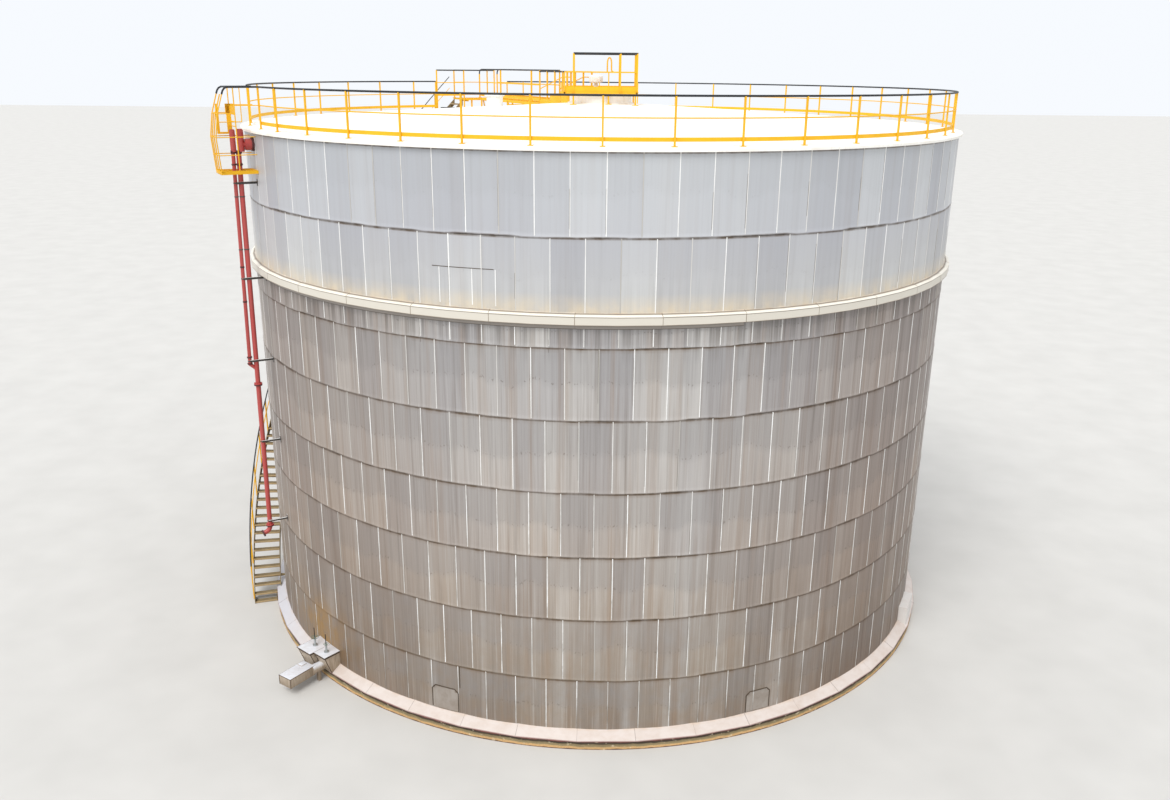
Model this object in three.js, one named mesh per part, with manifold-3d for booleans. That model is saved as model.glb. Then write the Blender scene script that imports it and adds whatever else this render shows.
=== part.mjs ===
// Insulated vertical storage tank with a low cone roof, about 21 m across and 15 m to the roof.
// Millimetres, +Z up. The origin is the centre of the foundation's underside, at ground level.
// An azimuth is in degrees, 0 at the front (towards -Y), growing towards +X.
import * as THREE from 'three';
import { mergeVertices } from 'three/addons/utils/BufferGeometryUtils.js';
import Module from 'manifold-3d';

const wasm = await Module();
wasm.setup();

// Driving dimensions
const GAP = 0.3; // clearance between pieces that rest on or against each other
const FACETS = 60; // flats round every ring of the tank
const SHELL = { outside: 10392, inside: 10380, foot: 252, top: 14780 };
const CLAD_RADIUS = 10500;
const FOUNDATION = { radius: 10780, height: 240 };
const BOTTOM_PLATE = { radius: 10500, thickness: 11 };
const KERB = { outside: 10815, junction: 440, lip: 258 };
// Heights of the level laps between the courses of cladding, foot to roof edge
const LAPS = [252, 1824, 3539, 5237, 6917, 8727, 10458, 11210, 12943, 14780];
const GIRDER = { outside: 10650, bottom: 11025, lip: 11230, junction: 11292 };
const ROOF = {
  rim: 14866, apex: 15500, thickness: 80, edge: 10600, edgeFoot: 14782, edgeTop: 14860,
};

const DARKER_COURSES = 7; // the courses above this one are clad in paler sheet
const CUTTER_MARGIN = 50; // how far a cutting shape stands past the piece that it cuts

const POST = 50;
const PIPE_RAIL = 24; // radius of a tube handrail
const GUARD_MID_RAIL = 18; // radius of the roof guard's mid rail
const THIN_RAIL = 15; // radius of a thin rail
const TOE_PLATE = 10; // thickness of a toe plate
const FOOT_BITE = 40; // how deep a post starts below the roof before the roof's shape trims it
const GUARD = {
  radius: 10340, posts: 42, firstPost: 0.3, height: 1050, mid: 595, toeFoot: 105, toeHeight: 90,
  openingNear: -58.34, openingFar: [-68.65, -69.05], landingSide: 201.1, stairSide: -142.2,
};
// The stair's turn is set on its walking line; a knee is a bearer that ties a tread to the wall
const STAIR = {
  start: -72.3, inside: 10660, outside: 11500, walkingLine: 11220, treads: 72, landing: 15290,
  treadDepth: 196, treadThickness: 40, stringer: 20, stringerHeight: 230, stringerLift: 60,
  flights: 3, treadsPerFlat: 4, kneeEvery: 6, firstKnee: 2, knee: 60,
};
const HANDRAIL = { height: 1000, mid: 575, midRadius: 18, post: 40, below: 150, everyTread: 4 };
const TREAD_BITE = 6; // how far a tread's end is let into its stringer
const LANDING = {
  span: 7.4, inside: 10200, outside: 11600, thickness: 60, bracketInset: 1.2, bracketDrop: 1500,
  postInset: 0.2,
};
const WALKWAY = {
  azimuth: -154.2, width: 780, outer: 10150, inner: 3900, floor: 15330, thickness: 45,
  legSpacing: 1450, steps: 3, plate: 20, railPosts: 6,
};
const PLATFORM = {
  side: 2200, floor: 15790, drumRadius: 950, drumDepth: 300, thickness: 50, railHeight: 1090,
  gateFrom: 100, gateTo: 1000,
};
const BALCONY = {
  from: -62.2, to: -58.3, outside: 11440, floor: 13835, thickness: 85, edgeInset: 0.12,
  bar: 20, wallPost: 10970, inwardPost: 10810,
  uprights: 4, rails: [14240, 14690], plateFoot: 15240, plateTop: 15450, rungs: [14950, 15070],
};
// The outer uprights lean as they rise: [distance from the axis, height]
const BALCONY_LEAN = [
  [11430, 13825], [11490, 14690], [11400, 15275], [11250, 15750], [11150, 15926],
];
// Both risers lean in a little as they rise
const RISER = {
  azimuth: -60,
  large: { distance: 10960, headDistance: 10865, radius: 57, foot: 3640, jointHeight: 7957,
    jointFlange: 112, footFlange: 110, headFlange: 78, bodyDistance: 10828, body: 88,
    bodyTop: 14880 },
  small: { distance: 11100, headDistance: 11035, radius: 44, foot: 8560, jointHeight: 8760,
    jointFlange: 70, footFlange: 70, headFlange: 60, bodyDistance: 11021, body: 72,
    bodyTop: 14870 },
  head: 14300, lowHead: 13980, flangeThickness: 40,
};
const BRACKETS = { heights: [3800, 6270, 8657, 10965, 13505], depth: 65, thickness: 12 };
const NOZZLE = {
  height: 14485, wallFlange: 175, wallFlangeEnd: 10560, drum: 150, drumEnd: 10732, neck: 70,
};
// The clad boxes at the foot share one direction, a little off square to the wall. Along is
// measured from the wall point to the right, out is measured away from the wall.
const FOOT_BOXES = {
  wallPoint: -43.95, direction: -39, lidTop: 845, lid: 25, overhang: 20, slopeIn: 210, bodyFoot: 250,
  large: { left: -250, right: 240, out: 550, stem: { along: 0, out: 296, wheel: 75 } },
  small: { left: -850, right: -250, out: 680, stem: { along: -531, out: 287, wheel: 115 } },
  stemTop: 1400, wheelHeight: 1100, stemRadius: 14,
};
const HOUSING = {
  direction: -33.4, near: [-7961, -7896], width: 460, length: 863, foot: 255, top: 550,
  linkAlong: -125, linkHeight: 420, linkRadius: 135, supportOut: 520, support: 110,
};
const KERB_HOOD = { azimuth: 65.6, width: 1050, far: 10740, top: 880 };
const MANHOLE = { distance: 3260, neck: 250, cover: 310, height: 420, coverThickness: 44 };

const FINISH = {
  concrete: { color: 0xa4977f, roughness: 0.95, metalness: 0 },
  steel: { color: 0x8d8f8e, roughness: 0.6, metalness: 0.6 },
  sheet: { color: 0xaaa69c, roughness: 0.5, metalness: 0.55 },
  paleSheet: { color: 0xc6c9ca, roughness: 0.5, metalness: 0.55 },
  cream: { color: 0xe9e0c8, roughness: 0.6, metalness: 0.1 },
  white: { color: 0xf3f1ea, roughness: 0.55, metalness: 0.1 },
  yellow: { color: 0xf2b710, roughness: 0.5, metalness: 0.1 },
  tread: { color: 0xa98f57, roughness: 0.8, metalness: 0.2 },
  red: { color: 0xb8433f, roughness: 0.5, metalness: 0.1 },
  galvanised: { color: 0x9aa0a2, roughness: 0.5, metalness: 0.7 },
};

const tank = new THREE.Group();

const radians = (degrees) => THREE.MathUtils.degToRad(degrees);
const degreesAlong = (length, radius) => THREE.MathUtils.radToDeg(length / radius);

// A point from its azimuth, its distance from the tank's axis and its height
function pointAt(azimuth, distance, height) {
  const angle = radians(azimuth);
  return new THREE.Vector3(distance * Math.sin(angle), -distance * Math.cos(angle), height);
}

function roofHeight(distance) {
  return ROOF.apex + ((ROOF.rim - ROOF.apex) * distance) / CLAD_RADIUS;
}

function signedVolume(geometry) {
  const place = geometry.getAttribute('position');
  const index = geometry.index.array;
  const [a, b, c] = [new THREE.Vector3(), new THREE.Vector3(), new THREE.Vector3()];
  let sum = 0;
  for (let i = 0; i < index.length; i += 3) {
    a.fromBufferAttribute(place, index[i]);
    b.fromBufferAttribute(place, index[i + 1]);
    c.fromBufferAttribute(place, index[i + 2]);
    sum += a.dot(b.cross(c));
  }
  return sum / 6;
}

// A closed shape with shared corners and its faces pointing out, as a solid for joining and cutting
function solidOf(geometry) {
  const bare = geometry.clone();
  bare.deleteAttribute('normal');
  bare.deleteAttribute('uv');
  const merged = mergeVertices(bare, 0.01);
  const triVerts = new Uint32Array(merged.index.array);
  if (signedVolume(merged) < 0) triVerts.reverse();
  const vertProperties = new Float32Array(merged.getAttribute('position').array);
  return new wasm.Manifold(new wasm.Mesh({ numProp: 3, vertProperties, triVerts }));
}

function geometryOf(solid) {
  const mesh = solid.getMesh();
  const geometry = new THREE.BufferGeometry();
  geometry.setAttribute('position', new THREE.BufferAttribute(mesh.vertProperties, 3));
  geometry.setIndex(new THREE.BufferAttribute(mesh.triVerts, 1));
  const flat = geometry.toNonIndexed();
  flat.computeVertexNormals();
  return flat;
}

function join(geometries) {
  return geometries.map(solidOf).reduce((whole, next) => whole.add(next));
}

// Adds one named piece of the tank
function addPiece(name, solid, finish, azimuth = 0) {
  const mesh = new THREE.Mesh(geometryOf(solid), new THREE.MeshStandardMaterial(finish));
  mesh.name = name;
  mesh.rotation.z = radians(azimuth);
  tank.add(mesh);
}

// A ring or disc turned from a profile of [distance from the axis, height] points
function turned(profile, facets = FACETS) {
  const points = profile.map(([distance, height]) => new THREE.Vector2(distance, height));
  return new THREE.LatheGeometry(points, facets).rotateX(Math.PI / 2);
}

function ringGeometry(inside, outside, foot, top, facets = FACETS) {
  return turned([[inside, foot], [outside, foot], [outside, top], [inside, top], [inside, foot]],
    facets);
}

function discGeometry(radius, foot, top, facets = FACETS) {
  return turned([[0, foot], [radius, foot], [radius, top], [0, top]], facets);
}

// A box given by its lowest and highest corner
function boxGeometry(low, high) {
  const size = low.map((value, axis) => high[axis] - value);
  const middle = low.map((value, axis) => (high[axis] + value) / 2);
  return new THREE.BoxGeometry(...size).translate(...middle);
}

// A box in front of the axis, turned to its azimuth: width along the wall, from one distance out to
// another, from foot to top
function boxAt(azimuth, width, near, far, foot, top) {
  return boxGeometry([-width / 2, -far, foot], [width / 2, -near, top]).rotateZ(radians(azimuth));
}

// A straight round bar between two points
function rodGeometry(from, to, radius, sides = 6) {
  const length = from.distanceTo(to);
  const turn = new THREE.Quaternion().setFromUnitVectors(
    new THREE.Vector3(0, 1, 0), to.clone().sub(from).normalize());
  return new THREE.CylinderGeometry(radius, radius, length, sides)
    .applyQuaternion(turn).translate(...from.clone().add(to).multiplyScalar(0.5).toArray());
}

// Bends a bar that is 1 long in x round the tank: x runs between two azimuths, y is the distance
// from the axis and z the height, which may climb steadily along the bar
function bentRound(bar, from, to, climb = 0) {
  const place = bar.getAttribute('position');
  for (let i = 0; i < place.count; i += 1) {
    const along = place.getX(i);
    const spot = pointAt(from + (to - from) * along, place.getY(i), place.getZ(i) + climb * along);
    place.setXYZ(i, spot.x, spot.y, spot.z);
  }
  return bar;
}

function bentTube(distance, height, from, to, radius, steps, climb = 0) {
  const tube = new THREE.CylinderGeometry(radius, radius, 1, 6, steps).rotateZ(-Math.PI / 2);
  return bentRound(tube.translate(0.5, distance, height), from, to, climb);
}

function bentPlate(inside, outside, foot, top, from, to, steps, climb = 0) {
  const plate = new THREE.BoxGeometry(1, outside - inside, top - foot, steps, 1, 1);
  return bentRound(plate.translate(0.5, (inside + outside) / 2, (foot + top) / 2), from, to, climb);
}

// A run of bar through points of [distance from the axis, height] on one upright plane through the
// axis, with the stretches lapping a little at the bends
function barRun(azimuth, points, radius) {
  const spots = points.map(([distance, height]) => pointAt(azimuth, distance, height));
  return spots.slice(1).map((spot, i) => {
    const lap = spot.clone().sub(spots[i]).setLength(radius / 2);
    const from = i === 0 ? spots[i] : spots[i].clone().sub(lap);
    const to = i === spots.length - 2 ? spot : spot.clone().add(lap);
    return rodGeometry(from, to, radius);
  });
}

// Solids that cut others so that they sit against the cladding, on the roof or on the kerb
const cladCore = solidOf(discGeometry(CLAD_RADIUS + GAP, 0, ROOF.edgeFoot - GAP));
const roofCutter = solidOf(turned([
  [0, 0], [CLAD_RADIUS + GAP, 0], [CLAD_RADIUS + GAP, ROOF.rim + GAP], [0, ROOF.apex + GAP]]));
const kerbCutter = solidOf(turned([
  [0, 0], [KERB.outside + GAP, 0], [KERB.outside + GAP, KERB.lip + GAP],
  [CLAD_RADIUS + GAP, KERB.junction + GAP], [0, KERB.junction + GAP]]));

// The stair climbs away from the front on the left: height and turn of one step
function stairStep() {
  const rises = STAIR.treads + 1;
  const rise = STAIR.landing / rises;
  const turn = -degreesAlong(rise, STAIR.walkingLine);
  return { rise, turn };
}

function addFoundation() {
  addPiece('foundation', solidOf(discGeometry(FOUNDATION.radius, 0, FOUNDATION.height)),
    FINISH.concrete);
  const plateFoot = FOUNDATION.height + GAP;
  addPiece('bottom_plate',
    solidOf(discGeometry(BOTTOM_PLATE.radius, plateFoot, plateFoot + BOTTOM_PLATE.thickness)),
    FINISH.steel);
  const kerbInside = CLAD_RADIUS + GAP;
  addPiece('kerb_flashing', solidOf(turned([
    [kerbInside, FOUNDATION.height + GAP], [KERB.outside, FOUNDATION.height + GAP],
    [KERB.outside, KERB.lip], [kerbInside, KERB.junction],
    [kerbInside, FOUNDATION.height + GAP]])), FINISH.white);
}

function addShell() {
  addPiece('steel_shell',
    solidOf(ringGeometry(SHELL.inside, SHELL.outside, SHELL.foot, SHELL.top)), FINISH.steel);
  for (let course = 1; course < LAPS.length; course += 1) {
    const ring = ringGeometry(SHELL.outside + GAP, CLAD_RADIUS, LAPS[course - 1],
      LAPS[course] - (course < LAPS.length - 1 ? GAP : 0));
    const finish = course > DARKER_COURSES ? FINISH.paleSheet : FINISH.sheet;
    addPiece(`cladding_course_${course}`, solidOf(ring), finish);
  }
  const inside = CLAD_RADIUS + GAP;
  addPiece('girder_cover', solidOf(turned([
    [inside, GIRDER.bottom], [GIRDER.outside, GIRDER.bottom], [GIRDER.outside, GIRDER.lip],
    [inside, GIRDER.junction], [inside, GIRDER.bottom]])), FINISH.cream);
}

function addRoof() {
  const underside = SHELL.top + GAP;
  const sheet = turned([
    [0, ROOF.apex], [CLAD_RADIUS, ROOF.rim], [CLAD_RADIUS, underside], [SHELL.inside, underside],
    [0, ROOF.apex - ROOF.thickness]]);
  addPiece('roof_cone', solidOf(sheet), FINISH.white);
  addPiece('roof_edge_trim', solidOf(ringGeometry(CLAD_RADIUS + GAP, ROOF.edge, ROOF.edgeFoot,
    ROOF.edgeTop)), FINISH.white);
}

// One stretch of guardrail on the roof: posts, tube top rail, thin mid rail and toe plate. The
// rails run on to the first post of the next stretch, or end in a post of their own.
function guardStretch(postAzimuths, endAzimuth, heights, distance = GUARD.radius) {
  const { foot, top, mid, toeFoot, toeTop } = heights;
  const pieces = postAzimuths.map((azimuth) => boxAt(azimuth, POST, distance - POST / 2,
    distance + POST / 2, foot, top));
  const corners = [...postAzimuths, endAzimuth].filter((azimuth, i, all) => azimuth !== all[i - 1]);
  const bend = (bar) => {
    const place = bar.getAttribute('position');
    const bays = corners.length - 1;
    for (let i = 0; i < place.count; i += 1) {
      const step = Math.round(place.getX(i) * bays);
      const spot = pointAt(corners[step], place.getY(i), place.getZ(i));
      place.setXYZ(i, spot.x, spot.y, spot.z);
    }
    return bar;
  };
  const bays = corners.length - 1;
  const tube = (height, radius) => bend(new THREE.CylinderGeometry(radius, radius, 1, 6, bays)
    .rotateZ(-Math.PI / 2).translate(0.5, distance, height));
  pieces.push(tube(top, PIPE_RAIL), tube(mid, GUARD_MID_RAIL));
  pieces.push(bend(new THREE.BoxGeometry(1, TOE_PLATE, toeTop - toeFoot, bays, 1, 1)
    .translate(0.5, distance, (toeFoot + toeTop) / 2)));
  return join(pieces);
}

function guardHeights(base, foot = base) {
  return {
    foot, top: base + GUARD.height, mid: base + GUARD.mid, toeFoot: base + GUARD.toeFoot,
    toeTop: base + GUARD.toeFoot + GUARD.toeHeight,
  };
}

// The guardrail runs from the balcony's opening right round the front to the landing, and from a
// double post at the far side of the opening back to the head of the stair
function addGuardrail() {
  const spacing = 360 / GUARD.posts;
  const heights = guardHeights(roofHeight(GUARD.radius), roofHeight(GUARD.radius) - FOOT_BITE);
  const butt = degreesAlong(POST / 2 + GAP, GUARD.radius);
  const runs = [
    { start: [GUARD.openingNear], skip: -6, way: 1, posts: 30, end: GUARD.landingSide,
      stretches: 5 },
    { start: GUARD.openingFar, skip: -9, way: -1, posts: 8, end: GUARD.stairSide, stretches: 2 },
  ];
  let number = 0;
  for (const { start, skip, way, posts, end, stretches } of runs) {
    const postAt = (k) => GUARD.firstPost + (skip + way * k) * spacing;
    const azimuths = [...start, ...Array.from({ length: posts }, (unused, k) => postAt(k)), end];
    const count = azimuths.length - 1;
    for (let n = 0; n < stretches; n += 1) {
      const low = Math.round((n * count) / stretches);
      const high = Math.round(((n + 1) * count) / stretches);
      const last = n === stretches - 1;
      const own = azimuths.slice(low, last ? high + 1 : high);
      const stop = last ? end : azimuths[high] - way * butt;
      number += 1;
      addPiece(`roof_guardrail_${number}`,
        guardStretch(own, stop, heights).subtract(roofCutter), FINISH.yellow);
    }
  }
}

function addStair() {
  const { rise, turn } = stairStep();
  const perFlight = STAIR.treads / STAIR.flights;
  const reach = STAIR.outside + CUTTER_MARGIN;
  const ground = solidOf(boxGeometry([-reach, -reach, -STAIR.stringerHeight], [reach, reach, 0]));
  const treadInside = STAIR.inside + TREAD_BITE;
  const treadOutside = STAIR.outside - STAIR.stringer + TREAD_BITE;
  const stringerFoot = STAIR.stringerLift - STAIR.stringerHeight / 2;
  const stringerTop = STAIR.stringerLift + STAIR.stringerHeight / 2;
  for (let flight = 0; flight < STAIR.flights; flight += 1) {
    const firstTread = flight * perFlight;
    const from = STAIR.start + turn * firstTread;
    const butt = degreesAlong(GAP, STAIR.inside) * 1.5;
    const to = STAIR.start + turn * (firstTread + perFlight) + butt;
    const base = rise * firstTread;
    const pieces = [STAIR.inside, STAIR.outside - STAIR.stringer].map((distance) => bentPlate(
      distance, distance + STAIR.stringer, base + stringerFoot, base + stringerTop, from, to,
      perFlight / STAIR.treadsPerFlat, rise * perFlight));
    for (let k = 0; k < perFlight; k += 1) {
      const top = base + rise * (k + 1);
      pieces.push(boxAt(from + turn * (k + 0.5), STAIR.treadDepth, treadInside, treadOutside,
        top - STAIR.treadThickness, top));
    }
    for (let k = STAIR.firstKnee; k < perFlight; k += STAIR.kneeEvery) {
      const top = base + rise * (k + 1) - STAIR.treadThickness + TREAD_BITE;
      const meetsGirder = top > GIRDER.bottom - CUTTER_MARGIN
        && top < GIRDER.junction + STAIR.knee + CUTTER_MARGIN;
      if (!meetsGirder) {
        pieces.push(boxAt(from + turn * (k + 0.5), STAIR.knee, CLAD_RADIUS - CUTTER_MARGIN,
          treadOutside, top - STAIR.knee, top));
      }
    }
    let solid = join(pieces).subtract(cladCore).subtract(ground);
    if (flight === 0) solid = solid.subtract(kerbCutter);
    addPiece(`stair_flight_${flight + 1}`, solid, FINISH.tread);
  }
}

// The handrail on the outer side of the stair, a stretch for each flight, with a post on the
// stringer at every fourth tread
function addStairHandrails() {
  const { rise, turn } = stairStep();
  const { height, mid, midRadius, post, below, everyTread } = HANDRAIL;
  const perFlight = STAIR.treads / STAIR.flights;
  const distance = STAIR.outside + post / 2 + GAP;
  for (let flight = 0; flight < STAIR.flights; flight += 1) {
    const firstTread = flight * perFlight;
    const last = flight === STAIR.flights - 1;
    const from = STAIR.start + turn * firstTread - degreesAlong(post / 2 + 2, distance);
    const treads = last ? perFlight - 1 : perFlight;
    const butt = last ? 0 : degreesAlong(post / 2 + GAP, distance);
    const start = rise * (firstTread + 1);
    const pieces = [];
    for (let k = 0; k < perFlight; k += everyTread) {
      const top = start + rise * k;
      pieces.push(boxAt(from + turn * k, post, distance - post / 2, distance + post / 2,
        top - below, top + height));
    }
    for (const [level, radius] of [[height, PIPE_RAIL], [mid, midRadius]]) {
      pieces.push(bentTube(distance, start + level, from, from + turn * treads + butt, radius,
        perFlight / STAIR.treadsPerFlat, rise * treads));
    }
    addPiece(`stair_handrail_${flight + 1}`, join(pieces), FINISH.yellow);
  }
}

function addLanding() {
  const { turn } = stairStep();
  const { inside, outside, bracketInset, postInset } = LANDING;
  const from = STAIR.start + turn * STAIR.treads - degreesAlong(8 * GAP, STAIR.inside);
  const to = from - LANDING.span;
  const top = STAIR.landing;
  const foot = top - LANDING.thickness;
  const floor = [bentPlate(inside, outside, foot, top, from, to, 2)];
  for (const azimuth of [from - bracketInset, to + bracketInset]) {
    floor.push(landingBracket(foot + TREAD_BITE).rotateZ(radians(azimuth)));
    floor.push(boxAt(azimuth, POST, inside + POST, inside + 2 * POST, roofHeight(inside) - POST,
      foot + TREAD_BITE));
  }
  addPiece('stair_landing', join(floor).subtract(cladCore).subtract(roofCutter), FINISH.yellow);

  const heights = guardHeights(top + GAP);
  const edge = outside - POST / 2;
  const posts = [from - postInset, (from + to) / 2, to + postInset];
  const outer = guardStretch(posts, posts[2], heights, edge);
  const sidePost = ROOF.edge + POST;
  const sideBar = (width, low, high) => boxAt(posts[2], width, sidePost, edge, low, high);
  const side = [
    boxAt(posts[2], POST, sidePost - POST / 2, sidePost + POST / 2, top + GAP, heights.top),
    sideBar(1.5 * PIPE_RAIL, heights.top - PIPE_RAIL, heights.top + PIPE_RAIL),
    sideBar(2 * THIN_RAIL, heights.mid - THIN_RAIL, heights.mid + THIN_RAIL),
    sideBar(TOE_PLATE, heights.toeFoot, heights.toeTop),
  ];
  addPiece('landing_guardrail', outer.add(join(side)), FINISH.yellow);

  const start = GUARD.stairSide - degreesAlong(POST + GAP, GUARD.radius);
  const end = from + 2 * postInset;
  const rimHeights = { ...guardHeights(top), foot: roofHeight(GUARD.radius) - FOOT_BITE };
  addPiece('stair_head_guardrail', guardStretch([start, (start + end) / 2, end], end, rimHeights)
    .subtract(roofCutter), FINISH.yellow);
}

// A gusset under the landing: up the cladding, out past the roof edge and along under the floor
function landingBracket(seat) {
  const behind = CLAD_RADIUS - POST;
  const foot = seat - LANDING.bracketDrop;
  const edge = LANDING.outside - POST;
  const plate = 30;
  const outline = new THREE.Shape([
    [behind, foot], [CLAD_RADIUS + POST, foot], [edge, seat - 2 * POST], [edge, seat],
    [ROOF.edge + POST, seat], [ROOF.edge + POST, ROOF.edgeFoot - POST],
    [behind, ROOF.edgeFoot - POST]].map(([x, y]) => new THREE.Vector2(x, y)));
  return new THREE.ExtrudeGeometry(outline, { depth: plate, bevelEnabled: false })
    .rotateX(Math.PI / 2).rotateZ(-Math.PI / 2).translate(plate / 2, 0, 0);
}

function addWalkway() {
  const { azimuth, width, outer, inner, floor, thickness, steps, plate, legSpacing } = WALKWAY;
  const half = width / 2;
  const lap = 10;
  const bar = (x0, x1, near, far, foot, top) => boxGeometry([x0, -far, foot], [x1, -near, top])
    .rotateZ(radians(azimuth));
  const pieces = [bar(-half, half, inner, outer, floor - thickness, floor)];
  for (let distance = inner + 4 * POST; distance < outer; distance += legSpacing) {
    for (const side of [-half, half - POST]) {
      pieces.push(bar(side, side + POST, distance, distance + POST, roofHeight(distance) - POST,
        floor - thickness + TREAD_BITE));
    }
  }
  const toPlatform = PLATFORM.side / 2 / Math.cos(radians(180 + azimuth));
  const run = (inner - toPlatform - 2.4 * POST) / steps;
  const climb = (PLATFORM.floor - floor) / (steps + 0.4);
  for (let k = 1; k <= steps; k += 1) {
    const top = floor + climb * k;
    const far = inner - run * (k - 1);
    pieces.push(bar(-half, half, far - run - lap, far, top - thickness, top));
    for (const side of [-half, half - plate]) {
      pieces.push(bar(side, side + plate, far - run - lap, far + plate,
        roofHeight(far - run) - 2 * POST, top));
    }
  }
  addPiece('roof_walkway', join(pieces).subtract(roofCutter), FINISH.yellow);

  const stepRail = 900; // height of the rail beside the steps
  for (const [name, x] of [['left', half - POST], ['right', -half]]) {
    const middle = x + POST / 2;
    const rail = (near, far, foot, top, thick = PIPE_RAIL) => bar(middle - thick / 2,
      middle + thick / 2, near, far, foot, top);
    const parts = [];
    const { top, mid, toeFoot, toeTop } = guardHeights(floor);
    const bay = (outer - inner - 2 * POST) / (WALKWAY.railPosts - 1);
    for (let n = 0; n < WALKWAY.railPosts; n += 1) {
      const distance = inner + POST + n * bay;
      parts.push(bar(x, x + POST, distance, distance + POST, floor + GAP, top));
    }
    const near = inner + 1.5 * POST;
    const far = outer - POST / 2;
    parts.push(rail(near, far, top - PIPE_RAIL, top + PIPE_RAIL));
    parts.push(rail(near, far, mid - THIN_RAIL, mid + THIN_RAIL));
    parts.push(rail(near, far, toeFoot, toeTop, TOE_PLATE));
    for (let k = 1; k <= steps; k += 1) {
      const place = inner - run * (k - 0.5);
      const base = floor + climb * k + GAP;
      parts.push(bar(x, x + POST, place, place + POST, base, base + stepRail - climb * (k - 1)));
    }
    const railTop = floor + climb + GAP + stepRail;
    parts.push(rail(inner - run * (steps - 0.5), near, railTop - PIPE_RAIL, railTop));
    addPiece(`walkway_rail_${name}`, join(parts), FINISH.yellow);
  }
}

// The middle platform stands on a drum; its guardrail leaves a gateway where the steps arrive
function addPlatform() {
  const { side, floor, drumRadius, drumDepth, thickness, railHeight, gateFrom, gateTo } = PLATFORM;
  const half = side / 2;
  const drum = solidOf(discGeometry(drumRadius, ROOF.apex - drumDepth, floor - thickness - GAP, 24));
  addPiece('platform_drum', drum.subtract(roofCutter), FINISH.white);
  addPiece('centre_platform', solidOf(boxGeometry([-half, -half, floor - thickness],
    [half, half, floor])), FINISH.yellow);
  const base = floor + GAP;
  const top = base + railHeight;
  const edge = half - POST / 2;
  const posts = [[-1, -1], [0.25, -1], [1, -1], [1, 0], [1, 1], [0, 1], [-1, 1], [-1, 0]];
  const parts = posts.map(([x, y]) => boxGeometry([x * edge - POST / 2, y * edge - POST / 2, base],
    [x * edge + POST / 2, y * edge + POST / 2, top]));
  const toeHeight = 150;
  const levels = [[top - PIPE_RAIL, top + PIPE_RAIL, PIPE_RAIL],
    [base + railHeight / 2 - THIN_RAIL, base + railHeight / 2 + THIN_RAIL, THIN_RAIL],
    [base, base + toeHeight, TOE_PLATE / 2]];
  for (const [foot, head, width] of levels) {
    for (const sign of [-1, 1]) {
      const middle = sign * edge;
      parts.push(boxGeometry([-edge, middle - width, foot], [edge, middle + width, head]));
      parts.push(boxGeometry([middle - width, -edge, foot], [middle + width, edge, head]));
    }
  }
  const gateway = solidOf(boxGeometry([-half - CUTTER_MARGIN, gateFrom, base - CUTTER_MARGIN],
    [-half + 2 * POST, gateTo, top + CUTTER_MARGIN]));
  addPiece('platform_guardrail', join(parts).subtract(gateway), FINISH.yellow);
  const vent = [discGeometry(60, base, base + 300, 12), discGeometry(210, base + 260, base + 480, 16)];
  addPiece('gauge_vent', join(vent).translate([-150, -450, 0]), FINISH.white);
}

// How far a leaning riser stands from the tank's axis at a height
function riserDistance({ distance, headDistance, foot }, height) {
  return distance + ((headDistance - distance) * (height - foot)) / (RISER.head - foot);
}

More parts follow.
